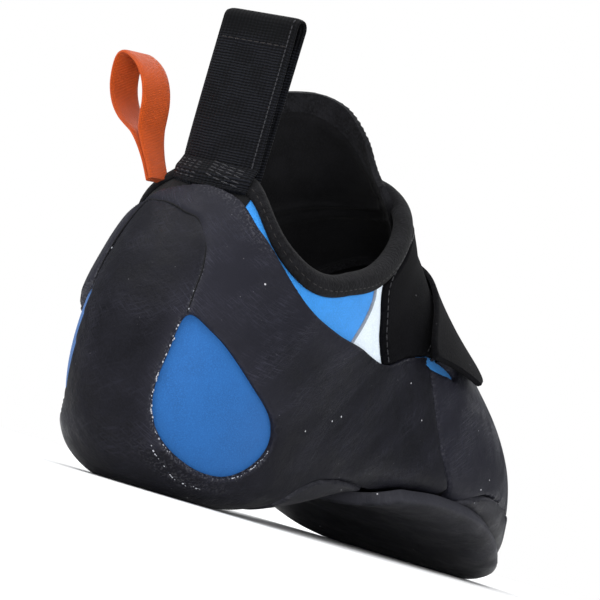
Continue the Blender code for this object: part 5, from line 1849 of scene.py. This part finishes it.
def add_light(name, at, target, size, energy):
    """A square soft light aimed at a point."""
    lamp = bpy.data.lights.new(name, "AREA")
    lamp.size = size
    lamp.energy = energy
    made = bpy.data.objects.new(name, lamp)
    made.matrix_world = look_at(at, target, 0.0)
    bpy.context.scene.collection.objects.link(made)


def look_at(at, target, roll):
    """Place and turning of a camera or light that looks at a point."""
    away = (Vector(at) - Vector(target)).normalized()
    right = Vector((0, 0, 1)).cross(away).normalized()
    up = away.cross(right)
    turned = Matrix((right, up, away)).transposed() @ Matrix.Rotation(roll, 3, "Z")
    return Matrix.Translation(at) @ turned.to_4x4()


def add_camera(context):
    """The photograph's camera: its yaw, roll and lens, level with the floor."""
    lens = bpy.data.cameras.new("photo_camera")
    lens.sensor_width = 36.0
    lens.lens = CAMERA_LENS
    lens.clip_start = 0.01
    made = bpy.data.objects.new("photo_camera", lens)
    ahead = (-math.sin(CAMERA_YAW) * math.cos(CAMERA_PITCH),
             math.cos(CAMERA_YAW) * math.cos(CAMERA_PITCH), math.sin(CAMERA_PITCH))
    target = [a + b for a, b in zip(CAMERA_AT, ahead)]
    made.matrix_world = look_at(CAMERA_AT, target, CAMERA_ROLL)
    context.scene.collection.objects.link(made)
    context.scene.camera = made


OPERATORS = (
    SHOE_OT_upper, SHOE_OT_panels, SHOE_OT_rands, SHOE_OT_outsole, SHOE_OT_binding,
    SHOE_OT_tongue, SHOE_OT_strap, SHOE_OT_pull_loop, SHOE_OT_side_loop, SHOE_OT_stage,
)


class SHOE_PT_looks(bpy.types.Panel):
    """Lists the colours and sizes, and the pieces that can be made"""
    bl_label = "Shoe"
    bl_idname = "SHOE_PT_looks"
    bl_space_type = "VIEW_3D"
    bl_region_type = "UI"
    bl_category = "Shoe"

    def draw(self, context):
        """One line for each setting, then one button for each operator."""
        column = self.layout.column()
        for key in ShoeLook.__annotations__:
            column.prop(context.scene.shoe_look, key)
        for operator in OPERATORS:
            column.operator(operator.bl_idname)


def register():
    """Adds the settings, the operators and the panel."""
    for kind in (ShoeLook, *OPERATORS, SHOE_PT_looks):
        bpy.utils.register_class(kind)
    bpy.types.Scene.shoe_look = PointerProperty(type=ShoeLook)


def unregister():
    """Takes them away in the opposite order."""
    del bpy.types.Scene.shoe_look
    for kind in reversed((ShoeLook, *OPERATORS, SHOE_PT_looks)):
        bpy.utils.unregister_class(kind)


def main():
    """Makes the stage and every piece."""
    register()
    bpy.ops.shoe.stage()
    bpy.ops.shoe.upper()
    bpy.ops.shoe.panels()
    bpy.ops.shoe.rands()
    bpy.ops.shoe.outsole()
    bpy.ops.shoe.binding()
    bpy.ops.shoe.tongue()
    bpy.ops.shoe.strap()
    bpy.ops.shoe.pull_loop()
    bpy.ops.shoe.side_loop()


if __name__ == "__main__":
    main()
